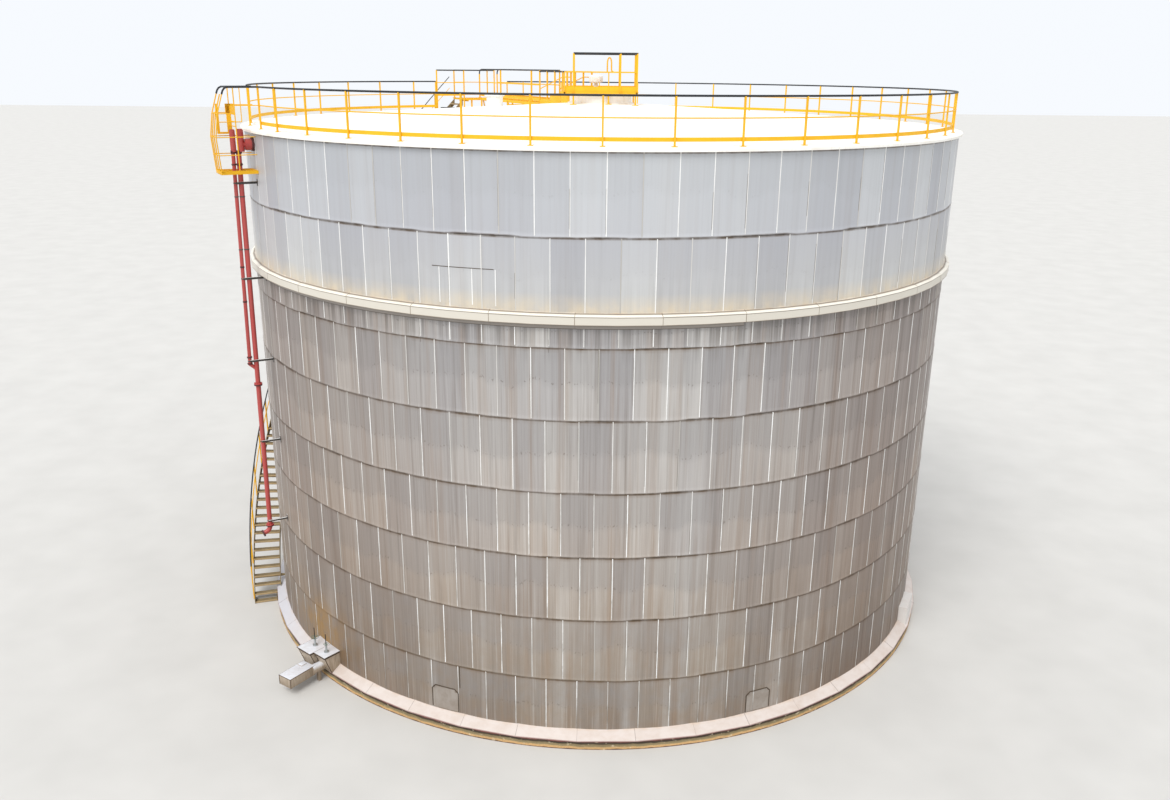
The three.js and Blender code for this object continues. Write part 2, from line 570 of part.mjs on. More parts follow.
// The foam balcony: a floor against the wall, and a tall guard round it whose leaning uprights hook
// over to the roof's guardrail, with two posts, two rungs and a plate at the step up to the roof
function addBalcony() {
  const { from, to, outside, floor, thickness, edgeInset, bar, wallPost, inwardPost } = BALCONY;
  const behind = CLAD_RADIUS - CUTTER_MARGIN;
  const floorFoot = floor - thickness;
  let deck = solidOf(bentPlate(behind, outside, floorFoot, floor, from, to, 2)).subtract(cladCore);
  for (const riser of [RISER.large, RISER.small]) {
    const hole = discGeometry(riser.radius + bar, floorFoot - bar, floor + bar, 12);
    const middle = pointAt(RISER.azimuth, riserDistance(riser, floor), 0);
    deck = deck.subtract(solidOf(hole.translate(...middle.toArray())));
  }
  addPiece('balcony_floor', deck, FINISH.yellow);

  const [near, far] = [to - edgeInset, from + edgeInset];
  const shoulder = BALCONY_LEAN[2];
  const [hook, headRail] = BALCONY_LEAN[4];
  const rim = GUARD.radius + POST / 2 + GAP;
  const midRail = guardHeights(roofHeight(GUARD.radius)).mid;
  const parts = [];
  for (let k = 0; k < BALCONY.uprights; k += 1) {
    const azimuth = far + ((near - far) * k) / (BALCONY.uprights - 1);
    const lean = k === 1 ? BALCONY_LEAN.slice(0, 3) : BALCONY_LEAN;
    parts.push(...barRun(azimuth, lean, bar));
  }
  const leanAt = (height) => {
    const [[low, lowHeight], [high, highHeight]] = BALCONY_LEAN;
    return low + ((high - low) * (height - lowHeight)) / (highHeight - lowHeight);
  };
  const acrossAt = (distance, height, radius) => rodGeometry(pointAt(far, distance, height),
    pointAt(near, distance, height), radius);
  for (const height of BALCONY.rails) {
    parts.push(acrossAt(leanAt(height), height, THIN_RAIL));
    for (const azimuth of [near, far]) {
      parts.push(...barRun(azimuth, [[leanAt(height), height], [behind, height]], THIN_RAIL));
    }
  }
  parts.push(acrossAt(...shoulder, THIN_RAIL), acrossAt(hook, headRail, bar));
  for (const azimuth of [near, far]) {
    parts.push(...barRun(azimuth, [shoulder, [wallPost, shoulder[1]]], THIN_RAIL));
    parts.push(...barRun(azimuth, [[wallPost, floor - bar], [wallPost, headRail]], bar));
    parts.push(...barRun(azimuth, [[hook + bar, headRail], [rim, headRail]], PIPE_RAIL));
    parts.push(...barRun(azimuth, [[wallPost, midRail], [rim, midRail]], THIN_RAIL));
  }
  const thinHeight = BALCONY.rungs[1];
  parts.push(...barRun(near, [[leanAt(shoulder[1]) - bar, thinHeight], [inwardPost, thinHeight]],
    THIN_RAIL));
  parts.push(...barRun(near, [[inwardPost, thinHeight], [inwardPost, headRail]], THIN_RAIL));
  for (const height of BALCONY.rungs) parts.push(acrossAt(wallPost, height, THIN_RAIL));
  parts.push(bentPlate(wallPost - THIN_RAIL / 2, wallPost + THIN_RAIL / 2, BALCONY.plateFoot,
    BALCONY.plateTop, far, near, 1));
  const underFloor = solidOf(discGeometry(outside + 2 * CUTTER_MARGIN, 0, floor + GAP));
  addPiece('balcony_guard', join(parts).subtract(cladCore).subtract(underFloor), FINISH.yellow);
}

function flange(centre, direction, radius, thickness, sides = 12) {
  const half = direction.clone().normalize().multiplyScalar(thickness / 2);
  return rodGeometry(centre.clone().sub(half), centre.clone().add(half), radius, sides);
}

// Two red risers stand one outside the other. Each ends in a flange under its body on the balcony;
// the large one turns out at its foot, the small one runs into it by a short slanting pipe.
function addFoamLine() {
  const up = new THREE.Vector3(0, 0, 1);
  const { azimuth, large, small, head, lowHead, flangeThickness } = RISER;
  const half = flangeThickness / 2;
  const at = (riser, height) => pointAt(azimuth, riserDistance(riser, height), height);
  const around = (riser, height, radius, thickness = flangeThickness) => flange(at(riser, height),
    up, radius, thickness);
  const elbowEnd = pointAt(azimuth, large.distance + 228, large.foot - 230);
  const elbowMiddle = pointAt(azimuth, large.distance + 40, large.foot - 140);
  const outward = elbowEnd.clone().sub(elbowMiddle).normalize();
  addPiece('foam_riser_large', join([
    rodGeometry(at(large, large.foot), at(large, head - half), large.radius, 12),
    around(large, large.foot + half, large.footFlange),
    rodGeometry(at(large, large.foot + half), elbowMiddle, large.radius, 12),
    flange(elbowMiddle, up, large.radius, large.radius),
    rodGeometry(elbowMiddle, elbowEnd, large.radius, 12),
    flange(elbowEnd, outward, large.footFlange, flangeThickness),
    around(large, large.jointHeight, large.jointFlange, 2 * flangeThickness),
    around(large, lowHead, large.headFlange),
    around(large, head - half, large.headFlange)]), FINISH.red);
  const slant = rodGeometry(at(small, small.foot), at(large, small.foot - 160), small.radius, 10);
  const largePipe = solidOf(rodGeometry(at(large, small.foot - 400), at(large, small.foot + 200),
    large.radius + 2 * GAP, 24));
  addPiece('foam_riser_small', join([
    rodGeometry(at(small, small.foot - half), at(small, head - half), small.radius, 10),
    slant,
    around(small, small.foot + half, small.footFlange),
    around(small, small.jointHeight, small.jointFlange),
    around(small, lowHead, small.headFlange),
    around(small, head - half, small.headFlange)]).subtract(largePipe), FINISH.red);

  const { height, wallFlange, wallFlangeEnd, drum, drumEnd, neck } = NOZZLE;
  const level = (from, to, radius) => rodGeometry(pointAt(azimuth, from, height),
    pointAt(azimuth, to, height), radius, 16);
  const seat = CLAD_RADIUS + GAP;
  const bodyFoot = head + GAP;
  const body = ({ bodyDistance, body: radius, bodyTop }) => rodGeometry(
    pointAt(azimuth, bodyDistance, bodyFoot), pointAt(azimuth, bodyDistance, bodyTop), radius, 12);
  addPiece('foam_chamber', join([
    level(seat, wallFlangeEnd, wallFlange),
    level(wallFlangeEnd - half, drumEnd, drum),
    level(drumEnd - half, large.bodyDistance, neck),
    body(large), around(large, bodyFoot + half, large.headFlange)]), FINISH.red);
  addPiece('foam_vapour_head', join([
    body(small), around(small, bodyFoot + half, small.headFlange)]), FINISH.red);

  const { heights, depth, thickness } = BRACKETS;
  const underGirder = solidOf(discGeometry(GIRDER.outside + GAP, GIRDER.bottom - GAP,
    GIRDER.junction));
  heights.forEach((middle, n) => {
    const offset = large.radius + GAP;
    const holdsSmall = middle > small.foot;
    const smallDistance = riserDistance(small, middle);
    const reach = holdsSmall ? smallDistance : riserDistance(large, middle) + large.radius;
    const behind = CLAD_RADIUS - CUTTER_MARGIN;
    const arm = boxGeometry([offset, -reach, middle - depth / 2],
      [offset + thickness, -behind, middle + depth / 2]);
    const plate = boxGeometry([offset - depth, -CLAD_RADIUS - thickness, middle - 1.5 * depth],
      [offset + depth, -behind, middle + 1.5 * depth]);
    let bracket = join([arm, plate]);
    if (holdsSmall) {
      const clamp = solidOf(boxGeometry(
        [0, -smallDistance - small.radius / 2, middle - depth / 4],
        [offset + thickness, -smallDistance + small.radius / 2, middle + depth / 4]));
      const clearOfPipe = solidOf(discGeometry(small.radius + 4 * GAP, middle - depth,
        middle + depth, 20).translate(0, -smallDistance, 0));
      bracket = bracket.add(clamp.subtract(clearOfPipe));
    }
    const seated = bracket.rotate([0, 0, azimuth]).subtract(cladCore).subtract(underGirder);
    addPiece(`riser_bracket_${n + 1}`, seated, FINISH.galvanised);
  });
}

// A clad box at the foot: a flat lid over a body whose outer face slopes in, and a valve stem with
// its handwheel
function footBox({ left, right, out, stem }) {
  const { lidTop, lid, overhang, slopeIn, bodyFoot, stemTop, wheelHeight, stemRadius } = FOOT_BOXES;
  const behind = -600; // far enough back to pass into the wall, which trims it
  const face = out - overhang;
  const profile = new THREE.Shape([
    [behind, bodyFoot], [face - slopeIn, bodyFoot], [face, lidTop - lid], [face, lidTop - lid / 2],
    [behind, lidTop - lid / 2]].map(([x, y]) => new THREE.Vector2(x, y)));
  const width = right - left - 2 * overhang;
  const body = new THREE.ExtrudeGeometry(profile, { depth: width, bevelEnabled: false })
    .rotateX(Math.PI / 2).rotateZ(-Math.PI / 2).translate(right - overhang, 0, 0);
  const ring = ringGeometry(stem.wheel - 1.5 * stemRadius, stem.wheel, wheelHeight - stemRadius / 2,
    wheelHeight + stemRadius / 2, 12);
  const spoke = (x, y) => boxGeometry([-x, -y, wheelHeight - stemRadius / 3],
    [x, y, wheelHeight + stemRadius / 3]);
  const inRing = stem.wheel - stemRadius;
  const valve = [discGeometry(stemRadius, lidTop - lid / 2, stemTop, 8), ring,
    spoke(inRing, stemRadius / 2), spoke(stemRadius / 2, inRing)]
    .map((shape) => shape.translate(stem.along, -stem.out, 0));
  return join([body, boxGeometry([left, -out, lidTop - lid], [right, -behind, lidTop]), ...valve]);
}

function addFootPieces() {
  const { wallPoint, direction } = FOOT_BOXES;
  const corner = pointAt(wallPoint, CLAD_RADIUS, 0).toArray();
  const place = (solid) => solid.rotate([0, 0, direction]).translate(corner);
  const trim = (solid) => solid.subtract(cladCore).subtract(kerbCutter);
  const large = place(footBox(FOOT_BOXES.large));
  const small = place(footBox({ ...FOOT_BOXES.small, right: FOOT_BOXES.small.right - GAP }));
  addPiece('nozzle_box', trim(large), FINISH.white);
  addPiece('nozzle_box_small', trim(small), FINISH.white);

  const { near, width, length, foot, top, linkAlong, linkHeight, linkRadius } = HOUSING;
  const body = solidOf(boxGeometry([-width / 2, -length, foot], [width / 2, 0, top])
    .rotateZ(radians(HOUSING.direction)).translate(...near, 0));
  const reach = FOOT_BOXES.large.out + 5 * POST;
  const link = place(solidOf(rodGeometry(new THREE.Vector3(linkAlong, 0, linkHeight),
    new THREE.Vector3(linkAlong, -reach, linkHeight), linkRadius, 12)));
  const support = place(solidOf(boxGeometry(
    [linkAlong - HOUSING.support / 2, -HOUSING.supportOut - HOUSING.support / 2, 0],
    [linkAlong + HOUSING.support / 2, -HOUSING.supportOut + HOUSING.support / 2, linkHeight])));
  const grown = [FOOT_BOXES.large, FOOT_BOXES.small].map((box) => place(footBox({ ...box,
    left: box.left - GAP, right: box.right + GAP, out: box.out + GAP })));
  const housing = body.add(link).add(support).subtract(grown[0]).subtract(grown[1]);
  addPiece('valve_housing', trim(housing), FINISH.white);

  const { azimuth, far } = KERB_HOOD;
  const hood = solidOf(boxAt(azimuth, KERB_HOOD.width, CLAD_RADIUS - 4 * CUTTER_MARGIN, far,
    KERB.lip, KERB_HOOD.top));
  addPiece('kerb_hood', trim(hood), FINISH.white);

  const { distance, neck, cover, height, coverThickness } = MANHOLE;
  const manhole = join([discGeometry(neck, 0, height - coverThickness, 16),
    discGeometry(cover, height - 2 * coverThickness - 2, height - coverThickness - 2, 16),
    discGeometry(cover, height - coverThickness, height, 16),
    discGeometry(neck, height - 2 * coverThickness, height - TREAD_BITE, 16)])
    .translate([-distance, 0, roofHeight(distance) - 10]);
  addPiece('roof_manhole', manhole.subtract(roofCutter), FINISH.white);
}

addFoundation();
addShell();
addRoof();
addGuardrail();
addStair();
addStairHandrails();
addLanding();
addWalkway();
addPlatform();
addBalcony();
addFoamLine();
addFootPieces();
export default tank;
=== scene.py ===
"""Insulated vertical storage tank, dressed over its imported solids.

Metres, +Z up, the origin on the ground under the middle of the tank. An azimuth is in degrees,
0 at the front (towards -Y) and growing towards +X, the side that the stair isn't on.
"""
import logging
import random
from dataclasses import dataclass
from enum import Enum
from math import atan2, cos, degrees, hypot, radians, sin, tau

import bmesh
import bpy
from mathutils import Matrix, Vector


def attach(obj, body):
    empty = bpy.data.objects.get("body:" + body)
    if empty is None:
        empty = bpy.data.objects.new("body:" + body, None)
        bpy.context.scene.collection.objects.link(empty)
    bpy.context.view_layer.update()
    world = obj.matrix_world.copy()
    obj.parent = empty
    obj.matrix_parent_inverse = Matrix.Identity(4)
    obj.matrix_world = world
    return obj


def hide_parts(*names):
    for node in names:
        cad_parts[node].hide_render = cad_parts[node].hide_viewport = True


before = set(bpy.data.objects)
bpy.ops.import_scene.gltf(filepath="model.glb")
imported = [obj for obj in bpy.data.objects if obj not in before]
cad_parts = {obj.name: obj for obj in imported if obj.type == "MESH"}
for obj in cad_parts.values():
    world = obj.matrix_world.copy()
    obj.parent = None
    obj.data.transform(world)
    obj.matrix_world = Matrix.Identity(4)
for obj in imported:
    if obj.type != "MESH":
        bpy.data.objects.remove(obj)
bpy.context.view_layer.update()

LOG = logging.getLogger("tank")
WALL = 10.5  # radius of the cladding's outside
SHEET_ROOT, LAP_ROOT = 0.03, 0.02  # how far covers and laps are let into the wall
APEX = 15.5  # height of the roof's middle
RIM_TOP = 14.866  # height of the roof's top side above the wall
RISERS = -60.0  # azimuth of the foam risers
TOP_RAIL, MID_RAIL = 1.05, 0.595  # heights of the roof guards' rails above their feet
TOE = (0.105, 0.195)  # foot and top of their toe plates
SHEET_MAP, TONE = "sheet", "tone"  # the map and the number that a mesh carries
Colour = tuple[int, int, int]
Size = tuple[float, float, float]
Section = list[tuple[float, float]]
Paint = bpy.types.Material
Socket = bpy.types.NodeSocket
UP = Vector((0.0, 0.0, 1.0))


class Slot(Enum):
    """The finishes that the part's record names."""

    CONCRETE = "concrete"
    CLADDING = "cladding"
    CREAM = "cream_cover"
    WHITE = "white_sheet"
    TREAD = "tread_steel"
    YELLOW = "yellow_paint"
    RED = "red_paint"
    GALVANISED = "galvanised"


class Blend(Enum):
    """The ways that two colours mix."""

    OVER = "MIX"
    MULTIPLY = "MULTIPLY"


def spot(azimuth: float, distance: float, height: float) -> Vector:
    """Finds a point from its azimuth, its distance from the axis and its height."""
    angle = radians(azimuth)
    return Vector((distance * sin(angle), -distance * cos(angle), height))


def turned(azimuth: float, size: int = 4) -> Matrix:
    """Gives a turn about the tank's axis, as a matrix of 3 rows or of 4."""
    return Matrix.Rotation(radians(azimuth), size, "Z")


def azimuth_of(place: Vector) -> float:
    """Finds a point's azimuth, -180 to 180."""
    return degrees(atan2(place.x, -place.y))


def roof_height(distance: float) -> float:
    """Gives the height of the roof's top side at a distance from the axis."""
    return APEX + (RIM_TOP - APEX) * distance / WALL


def strip(near: float, far: float, low: float, high: float) -> Section:
    """Gives the corners of an upright rectangle in section, in order round it."""
    return [(near, low), (far, low), (far, high), (near, high)]


def linear(colour: Colour) -> tuple[float, float, float, float]:
    """Turns a screen colour of 0 to 255 into the linear values that a shader reads.

    Args:
        colour: Red, green and blue.

    Returns:
        Linear red, green, blue and an alpha of 1.
    """
    parts = [c / 255 for c in colour]
    made = [p / 12.92 if p <= 0.04045 else ((p + 0.055) / 1.055) ** 2.4 for p in parts]
    return (*made, 1.0)


class NodeSheet:
    """The nodes of one material, added and linked in the order that they are used."""

    def __init__(self, name: str, ground: Colour = (0, 0, 0)) -> None:
        """Starts a material.

        Args:
            name: The material's name.
            ground: The colour that the others are laid on.
        """
        self.colour: Socket | Colour = ground
        self.material = bpy.data.materials.new(name)
        self.material.use_nodes = True
        self.tree = self.material.node_tree
        self.tree.nodes.clear()
        output = self._node("OutputMaterial", {})
        self.shader = self._node("BsdfPrincipled", {})
        self.tree.links.new(self.shader.outputs[0], output.inputs[0])
        self.place = self._node("TexCoord", {}).outputs["Object"]

    def _node(self, kind: str, inputs: dict[str | int, Socket | float | tuple],
              **settings: str | bool) -> bpy.types.Node:
        """Adds a node.

        Args:
            kind: Its type, without ShaderNode.
            inputs: A socket or a constant for each input, by its name or number.
            settings: The node's own settings.

        Returns:
            The node.
        """
        node = self.tree.nodes.new(f"ShaderNode{kind}")
        for name, value in settings.items():
            setattr(node, name, value)
        for place, value in inputs.items():
            self._feed(node.inputs[place], value)
        return node

    def _feed(self, socket: Socket, value: Socket | float | tuple) -> None:
        """Links or sets one input.

        Args:
            socket: The input.
            value: What it gets.
        """
        if isinstance(value, Socket):
            self.tree.links.new(value, socket)
        else:
            socket.default_value = value

    def noise(self, scale: Size, detail: float = 3.0, roughness: float = 0.55,
              shift: float = 0.0) -> Socket:
        """Adds a noise pattern that is stretched by its scale.

        Args:
            scale: Repeats per metre along X, Y and Z.
            detail: How many finer layers it has.
            roughness: The strength of the finer layers.
            shift: Metres by which the pattern is moved, so that two patterns differ.

        Returns:
            The pattern's value, about 0.5 on average.
        """
        mapping = self._node("Mapping", {"Vector": self.place, "Scale": scale, "Location": (
            shift, shift * 0.7, shift * 0.3)})
        return self._node("TexNoise", {"Vector": mapping.outputs[0], "Scale": 1.0,
                                       "Detail": detail, "Roughness": roughness}).outputs[0]

    def blots(self, scale: Size, detail: float, roughness: float, shift: float,
              *spread: float) -> Socket:
        """Adds a noise pattern and spreads its values, as level does."""
        return self.level(self.noise(scale, detail, roughness, shift), *spread)

    def level(self, value: Socket, low: float, high: float, start: float = 0.0,
              end: float = 1.0) -> Socket:
        """Spreads the values from low to high over start to end, held at the ends."""
        return self._node("MapRange", dict(enumerate((value, low, high, start, end))),
                          clamp=True).outputs[0]

    def sum(self, operation: str, first: Socket | float, second: Socket | float) -> Socket:
        """Does one of Blender's sums, such as ADD or MAXIMUM, on two values."""
        return self._node("Math", {0: first, 1: second}, operation=operation).outputs[0]

    def times(self, first: Socket | float, *others: Socket | float) -> Socket:
        """Multiplies values.

        Args:
            first: The first value.
            others: Sockets or numbers.

        Returns:
            Their product.
        """
        for other in others:
            first = self.sum("MULTIPLY", first, other)
        return first

    def mix(self, factor: Socket | float, first: Socket | Colour, second: Socket | Colour,
            way: Blend = Blend.OVER) -> Socket:
        """Mixes two colours.

        Args:
            factor: How much of the second shows.
            first: A socket or a screen colour.
            second: A socket or a screen colour.
            way: The way that they mix.

        Returns:
            The mixed colour.
        """
        first, second = (c if isinstance(c, Socket) else linear(c) for c in (first, second))
        return self._node("Mix", {0: factor, 6: first, 7: second}, data_type="RGBA",
                          blend_type=way.value).outputs[2]

    def coat(self, colour: Socket | Colour, *amounts: Socket | float,
             way: Blend = Blend.OVER) -> None:
        """Lays one more colour over the surface, by amounts multiplied together."""
        self.colour = self.mix(self.times(*amounts), self.colour, colour, way)

    def stops(self, value: Socket, colours: tuple[tuple[float, Colour], ...]) -> Socket:
        """Turns a value into a colour by stops along it.

        Args:
            value: The value, 0 to 1.
            colours: Each stop's place and screen colour.

        Returns:
            The colour.
        """
        node = self._node("ValToRGB", {0: value})
        stops = node.color_ramp.elements
        while len(stops) < len(colours):
            stops.new(0.5)
        for stop, (place, colour) in zip(stops, colours):
            stop.position = place
            stop.color = linear(colour)
        return node.outputs[0]

    def tone(self) -> Socket:
        """Reads the tone that the mesh carries."""
        return self._node("Attribute", {}, attribute_name=TONE).outputs["Fac"]

    def axis(self, name: str, vector: Socket | None = None) -> Socket:
        """Reads the X, Y or Z of a vector, or else of the place on the object."""
        return self._node("SeparateXYZ", {0: vector or self.place}).outputs[name]

    def across(self, name: str) -> Socket:
        """Reads the mesh's own map, 0 to 1: X across a sheet, Y up it."""
        return self.axis(name, self._node("UVMap", {}, uv_map=SHEET_MAP).outputs[0])

    def near(self, value: Socket, place: float, reach: float) -> Socket:
        """Gives 1 where a value is at a place, falling to 0 at a reach from it."""
        away = self.sum("ABSOLUTE", self.sum("SUBTRACT", value, place), 0.0)
        return self.level(away, 0.0, reach, 1.0, 0.0)

    def facing_up(self) -> Socket:
        """Finds how far the surface faces up: 0 where it is upright, 1 if level."""
        return self.axis("Z", self._node("NewGeometry", {}).outputs["Normal"])

    def relief(self, height: Socket, strength: float, depth: float) -> None:
        """Gives the surface a fine relief, as deep as depth in metres."""
        node = self._node("Bump", {"Strength": strength, "Distance": depth, "Height": height})
        self._feed(self.shader.inputs["Normal"], node.outputs[0])

    def dress(self, roughness: Socket | float, metallic: float) -> Paint:
        """Gives the surface its colour and gloss.

        Args:
            roughness: A socket or a number.
            metallic: How much of a bare metal it is.

        Returns:
            The finished material.
        """
        for name, value in (("Base Color", self.colour), ("Roughness", roughness),
                            ("Metallic", metallic)):
            self._feed(self.shader.inputs[name], value)
        return self.material


@dataclass(frozen=True)
class PaintFinish:
    """Paint on steel or sheet, with patchy dirt, runs and a few spots of rust."""

    name: str
    colour: Colour
    dirt: Colour
    rust: Colour = (120, 70, 40)
    dirt_amount: float = 0.35
    rust_amount: float = 0.25
    roughness: float = 0.5
    metallic: float = 0.0

    def material(self) -> Paint:
        """Builds the material.

        Returns:
            The finished material.
        """
        sheet = NodeSheet(self.name, self.colour)
        patches = sheet.blots((2.2, 2.2, 2.2), 5.0, 0.6, 3.0, 0.42, 0.75)
        runs = sheet.blots((11.0, 11.0, 0.9), 4.0, 0.6, 9.0, 0.5, 0.8)
        sheet.coat(self.dirt, sheet.sum("MAXIMUM", patches, runs), self.dirt_amount)
        spots = sheet.blots((38.0, 38.0, 38.0), 4.0, 0.7, 1.0, 0.66, 0.74)
        sheet.coat(self.rust, spots, self.rust_amount)
        sheet.relief(sheet.noise((70.0, 70.0, 70.0), 3.0, 0.6), 0.25, 0.002)
        rough = sheet.level(patches, 0.0, 1.0, self.roughness, min(1.0, self.roughness + 0.25))
        return sheet.dress(rough, self.metallic)


@dataclass(frozen=True)
class ConcreteFinish:
    """Weathered concrete with soil stains, pits and fine cracks, coloured by height; its dark line
    at the ground and dark strip under the kerb's lip are painted shadow.
    """

    name: str = "weathered_concrete"
    # Colours from the ground up: the near-black and maroon stops near the top are painted shadow
    # under the kerb's lip, and the dark stops at the ground are painted shadow where it meets the
    # ground.
    bands_with_painted_shadow: tuple[tuple[float, Colour], ...] = (
        (0.00, (92, 58, 46)), (0.06, (112, 76, 56)), (0.10, (222, 180, 124)),
        (0.30, (212, 172, 120)), (0.36, (152, 138, 102)), (0.58, (138, 124, 92)),
        (0.65, (62, 52, 44)), (0.82, (56, 44, 38)), (0.88, (138, 74, 72)), (1.00, (150, 90, 84)))
    damp: Colour = (96, 80, 54)
    grit: Colour = (76, 62, 46)
    bloom: Colour = (222, 206, 176)

    def material(self) -> Paint:
        """Builds the material.

        Returns:
            The finished material.
        """
        sheet = NodeSheet(self.name)
        clouds = sheet.blots((1.4, 1.4, 2.5), 6.0, 0.65, 4.0, 0.35, 0.7, 0.0, 0.35)
        uneven = sheet.blots((3.0, 3.0, 3.0), 3.0, 0.6, 12.0, 0.3, 0.7, -0.016, 0.016)
        height = sheet.level(sheet.sum("ADD", sheet.axis("Z"), uneven), 0.0, 0.25)
        # Colour by height, with painted shadow under the kerb's lip and at the ground.
        sheet.colour = sheet.stops(height, self.bands_with_painted_shadow)
        sheet.coat(self.damp, clouds)
        grit = sheet.noise((60.0, 60.0, 60.0), 5.0, 0.7)
        sheet.coat(self.grit, sheet.level(grit, 0.45, 0.75, 0.0, 0.6))
        sheet.coat(self.bloom, sheet.blots((7.0, 7.0, 9.0), 4.0, 0.6, 8.0, 0.6, 0.72, 0.0, 0.7))
        sheet.relief(sheet.sum("ADD", grit, clouds), 0.7, 0.012)
        return sheet.dress(0.95, 0.0)


@dataclass(frozen=True)
class CoverFinish:
    """Painted cover sheet in straight lengths, stained at its joints and along its wall edge.

    Its map runs 0 to 1 along each length, and from the outer edge at 0 to the wall at 1. Its darker
    upright faces, its darker left side and its dark lines along folds and edges are painted shade.
    """

    name: str
    colour: Colour
    stain: Colour
    joint: Colour
    joint_width: float = 0.012
    wall_stain: float = 0.6
    edge: Colour = (150, 96, 80)
    edge_width: float = 0.06
    # Heights, reaches and strengths of dark lines: painted shade along the folds and under the
    # edges.
    lines: tuple[tuple[float, float, float], ...] = ()
    line: Colour = (90, 68, 44)
    # front darkens the upright faces and shaded darkens the left side: both are painted shade.
    front: Colour | None = None
    shaded: Colour | None = None
    wall_dirt: Colour = (194, 156, 108)

    def material(self) -> Paint:
        """Builds the material.

        Returns:
            The finished material.
        """
        sheet = NodeSheet(self.name, self.colour)
        along, to_wall, height = sheet.across("X"), sheet.across("Y"), sheet.axis("Z")
        clouds = sheet.blots((2.6, 2.6, 6.0), 5.0, 0.65, 2.0, 0.4, 0.75, 0.0, 0.5)
        sheet.coat(self.stain, clouds)
        if self.shaded:
            sheet.coat(self.shaded, sheet.level(sheet.axis("X"), -7.2, -9.6, 0.0, 0.8))
        # Upright faces darker than level ones: painted shade.
        if self.front:
            sheet.coat(self.front, sheet.level(sheet.facing_up(), 0.2, 0.7, 0.85, 0.0))
        broken = sheet.blots((3.5, 3.5, 9.0), 4.0, 0.6, 5.0, 0.36, 0.62)
        sheet.coat(self.wall_dirt, sheet.level(to_wall, 0.72, 0.97), broken, self.wall_stain)
        start = sheet.level(along, 0.0, self.joint_width, 1.0, 0.0)
        end = sheet.level(along, 1.0 - self.joint_width / 2, 1.0)
        sheet.coat(self.joint, sheet.sum("MAXIMUM", start, end), 0.8)
        sheet.coat(self.edge, sheet.level(to_wall, 0.0, self.edge_width, 0.8, 0.0))
        # Dark lines at the given heights: painted shade under folds and edges.
        for level, reach, strength in self.lines:
            sheet.coat(self.line, sheet.near(height, level, reach), strength)
        sheet.relief(sheet.noise((1.2, 1.2, 4.0), 2.0, 0.5), 0.3, 0.01)
        return sheet.dress(sheet.level(clouds, 0.0, 0.5, 0.42, 0.65), 0.0)


@dataclass(frozen=True)
class BoxFinish:
    """Clad sheet, pale on its lids and darker on its upright sides as painted light and shade, with
    dirt runs, and darker towards the ground.
    """

    name: str = "clad_boxes"
    # lid and side: painted light on level faces and painted shade on upright ones.
    lid: Colour = (226, 228, 234)
    side: Colour = (190, 176, 158)
    soil: Colour = (118, 96, 72)
    lid_dirt: Colour = (176, 164, 154)

    def material(self) -> Paint:
        """Builds the material.

        Returns:
            The finished material.
        """
        sheet = NodeSheet(self.name, self.side)
        clouds = sheet.blots((5.0, 5.0, 5.0), 4.0, 0.6, 9.0, 0.4, 0.7)
        sheet.coat(self.soil, sheet.blots((22.0, 22.0, 2.0), 4.0, 0.65, 3.0, 0.42, 0.68), 0.6)
        # Darker towards the ground.
        sheet.coat(self.soil, sheet.level(sheet.axis("Z"), 0.62, 0.22, 0.0, 0.55))
        # Level faces take the pale lid colour and upright ones keep the darker side colour: painted
        # light and shade.
        lid = sheet.mix(sheet.times(clouds, 0.35), self.lid, self.lid_dirt)
        sheet.coat(lid, sheet.level(sheet.facing_up(), 0.25, 0.8))
        sheet.relief(sheet.noise((6.0, 6.0, 6.0), 3.0, 0.5), 0.3, 0.006)
        return sheet.dress(sheet.level(clouds, 0.0, 1.0, 0.35, 0.6), 0.2)


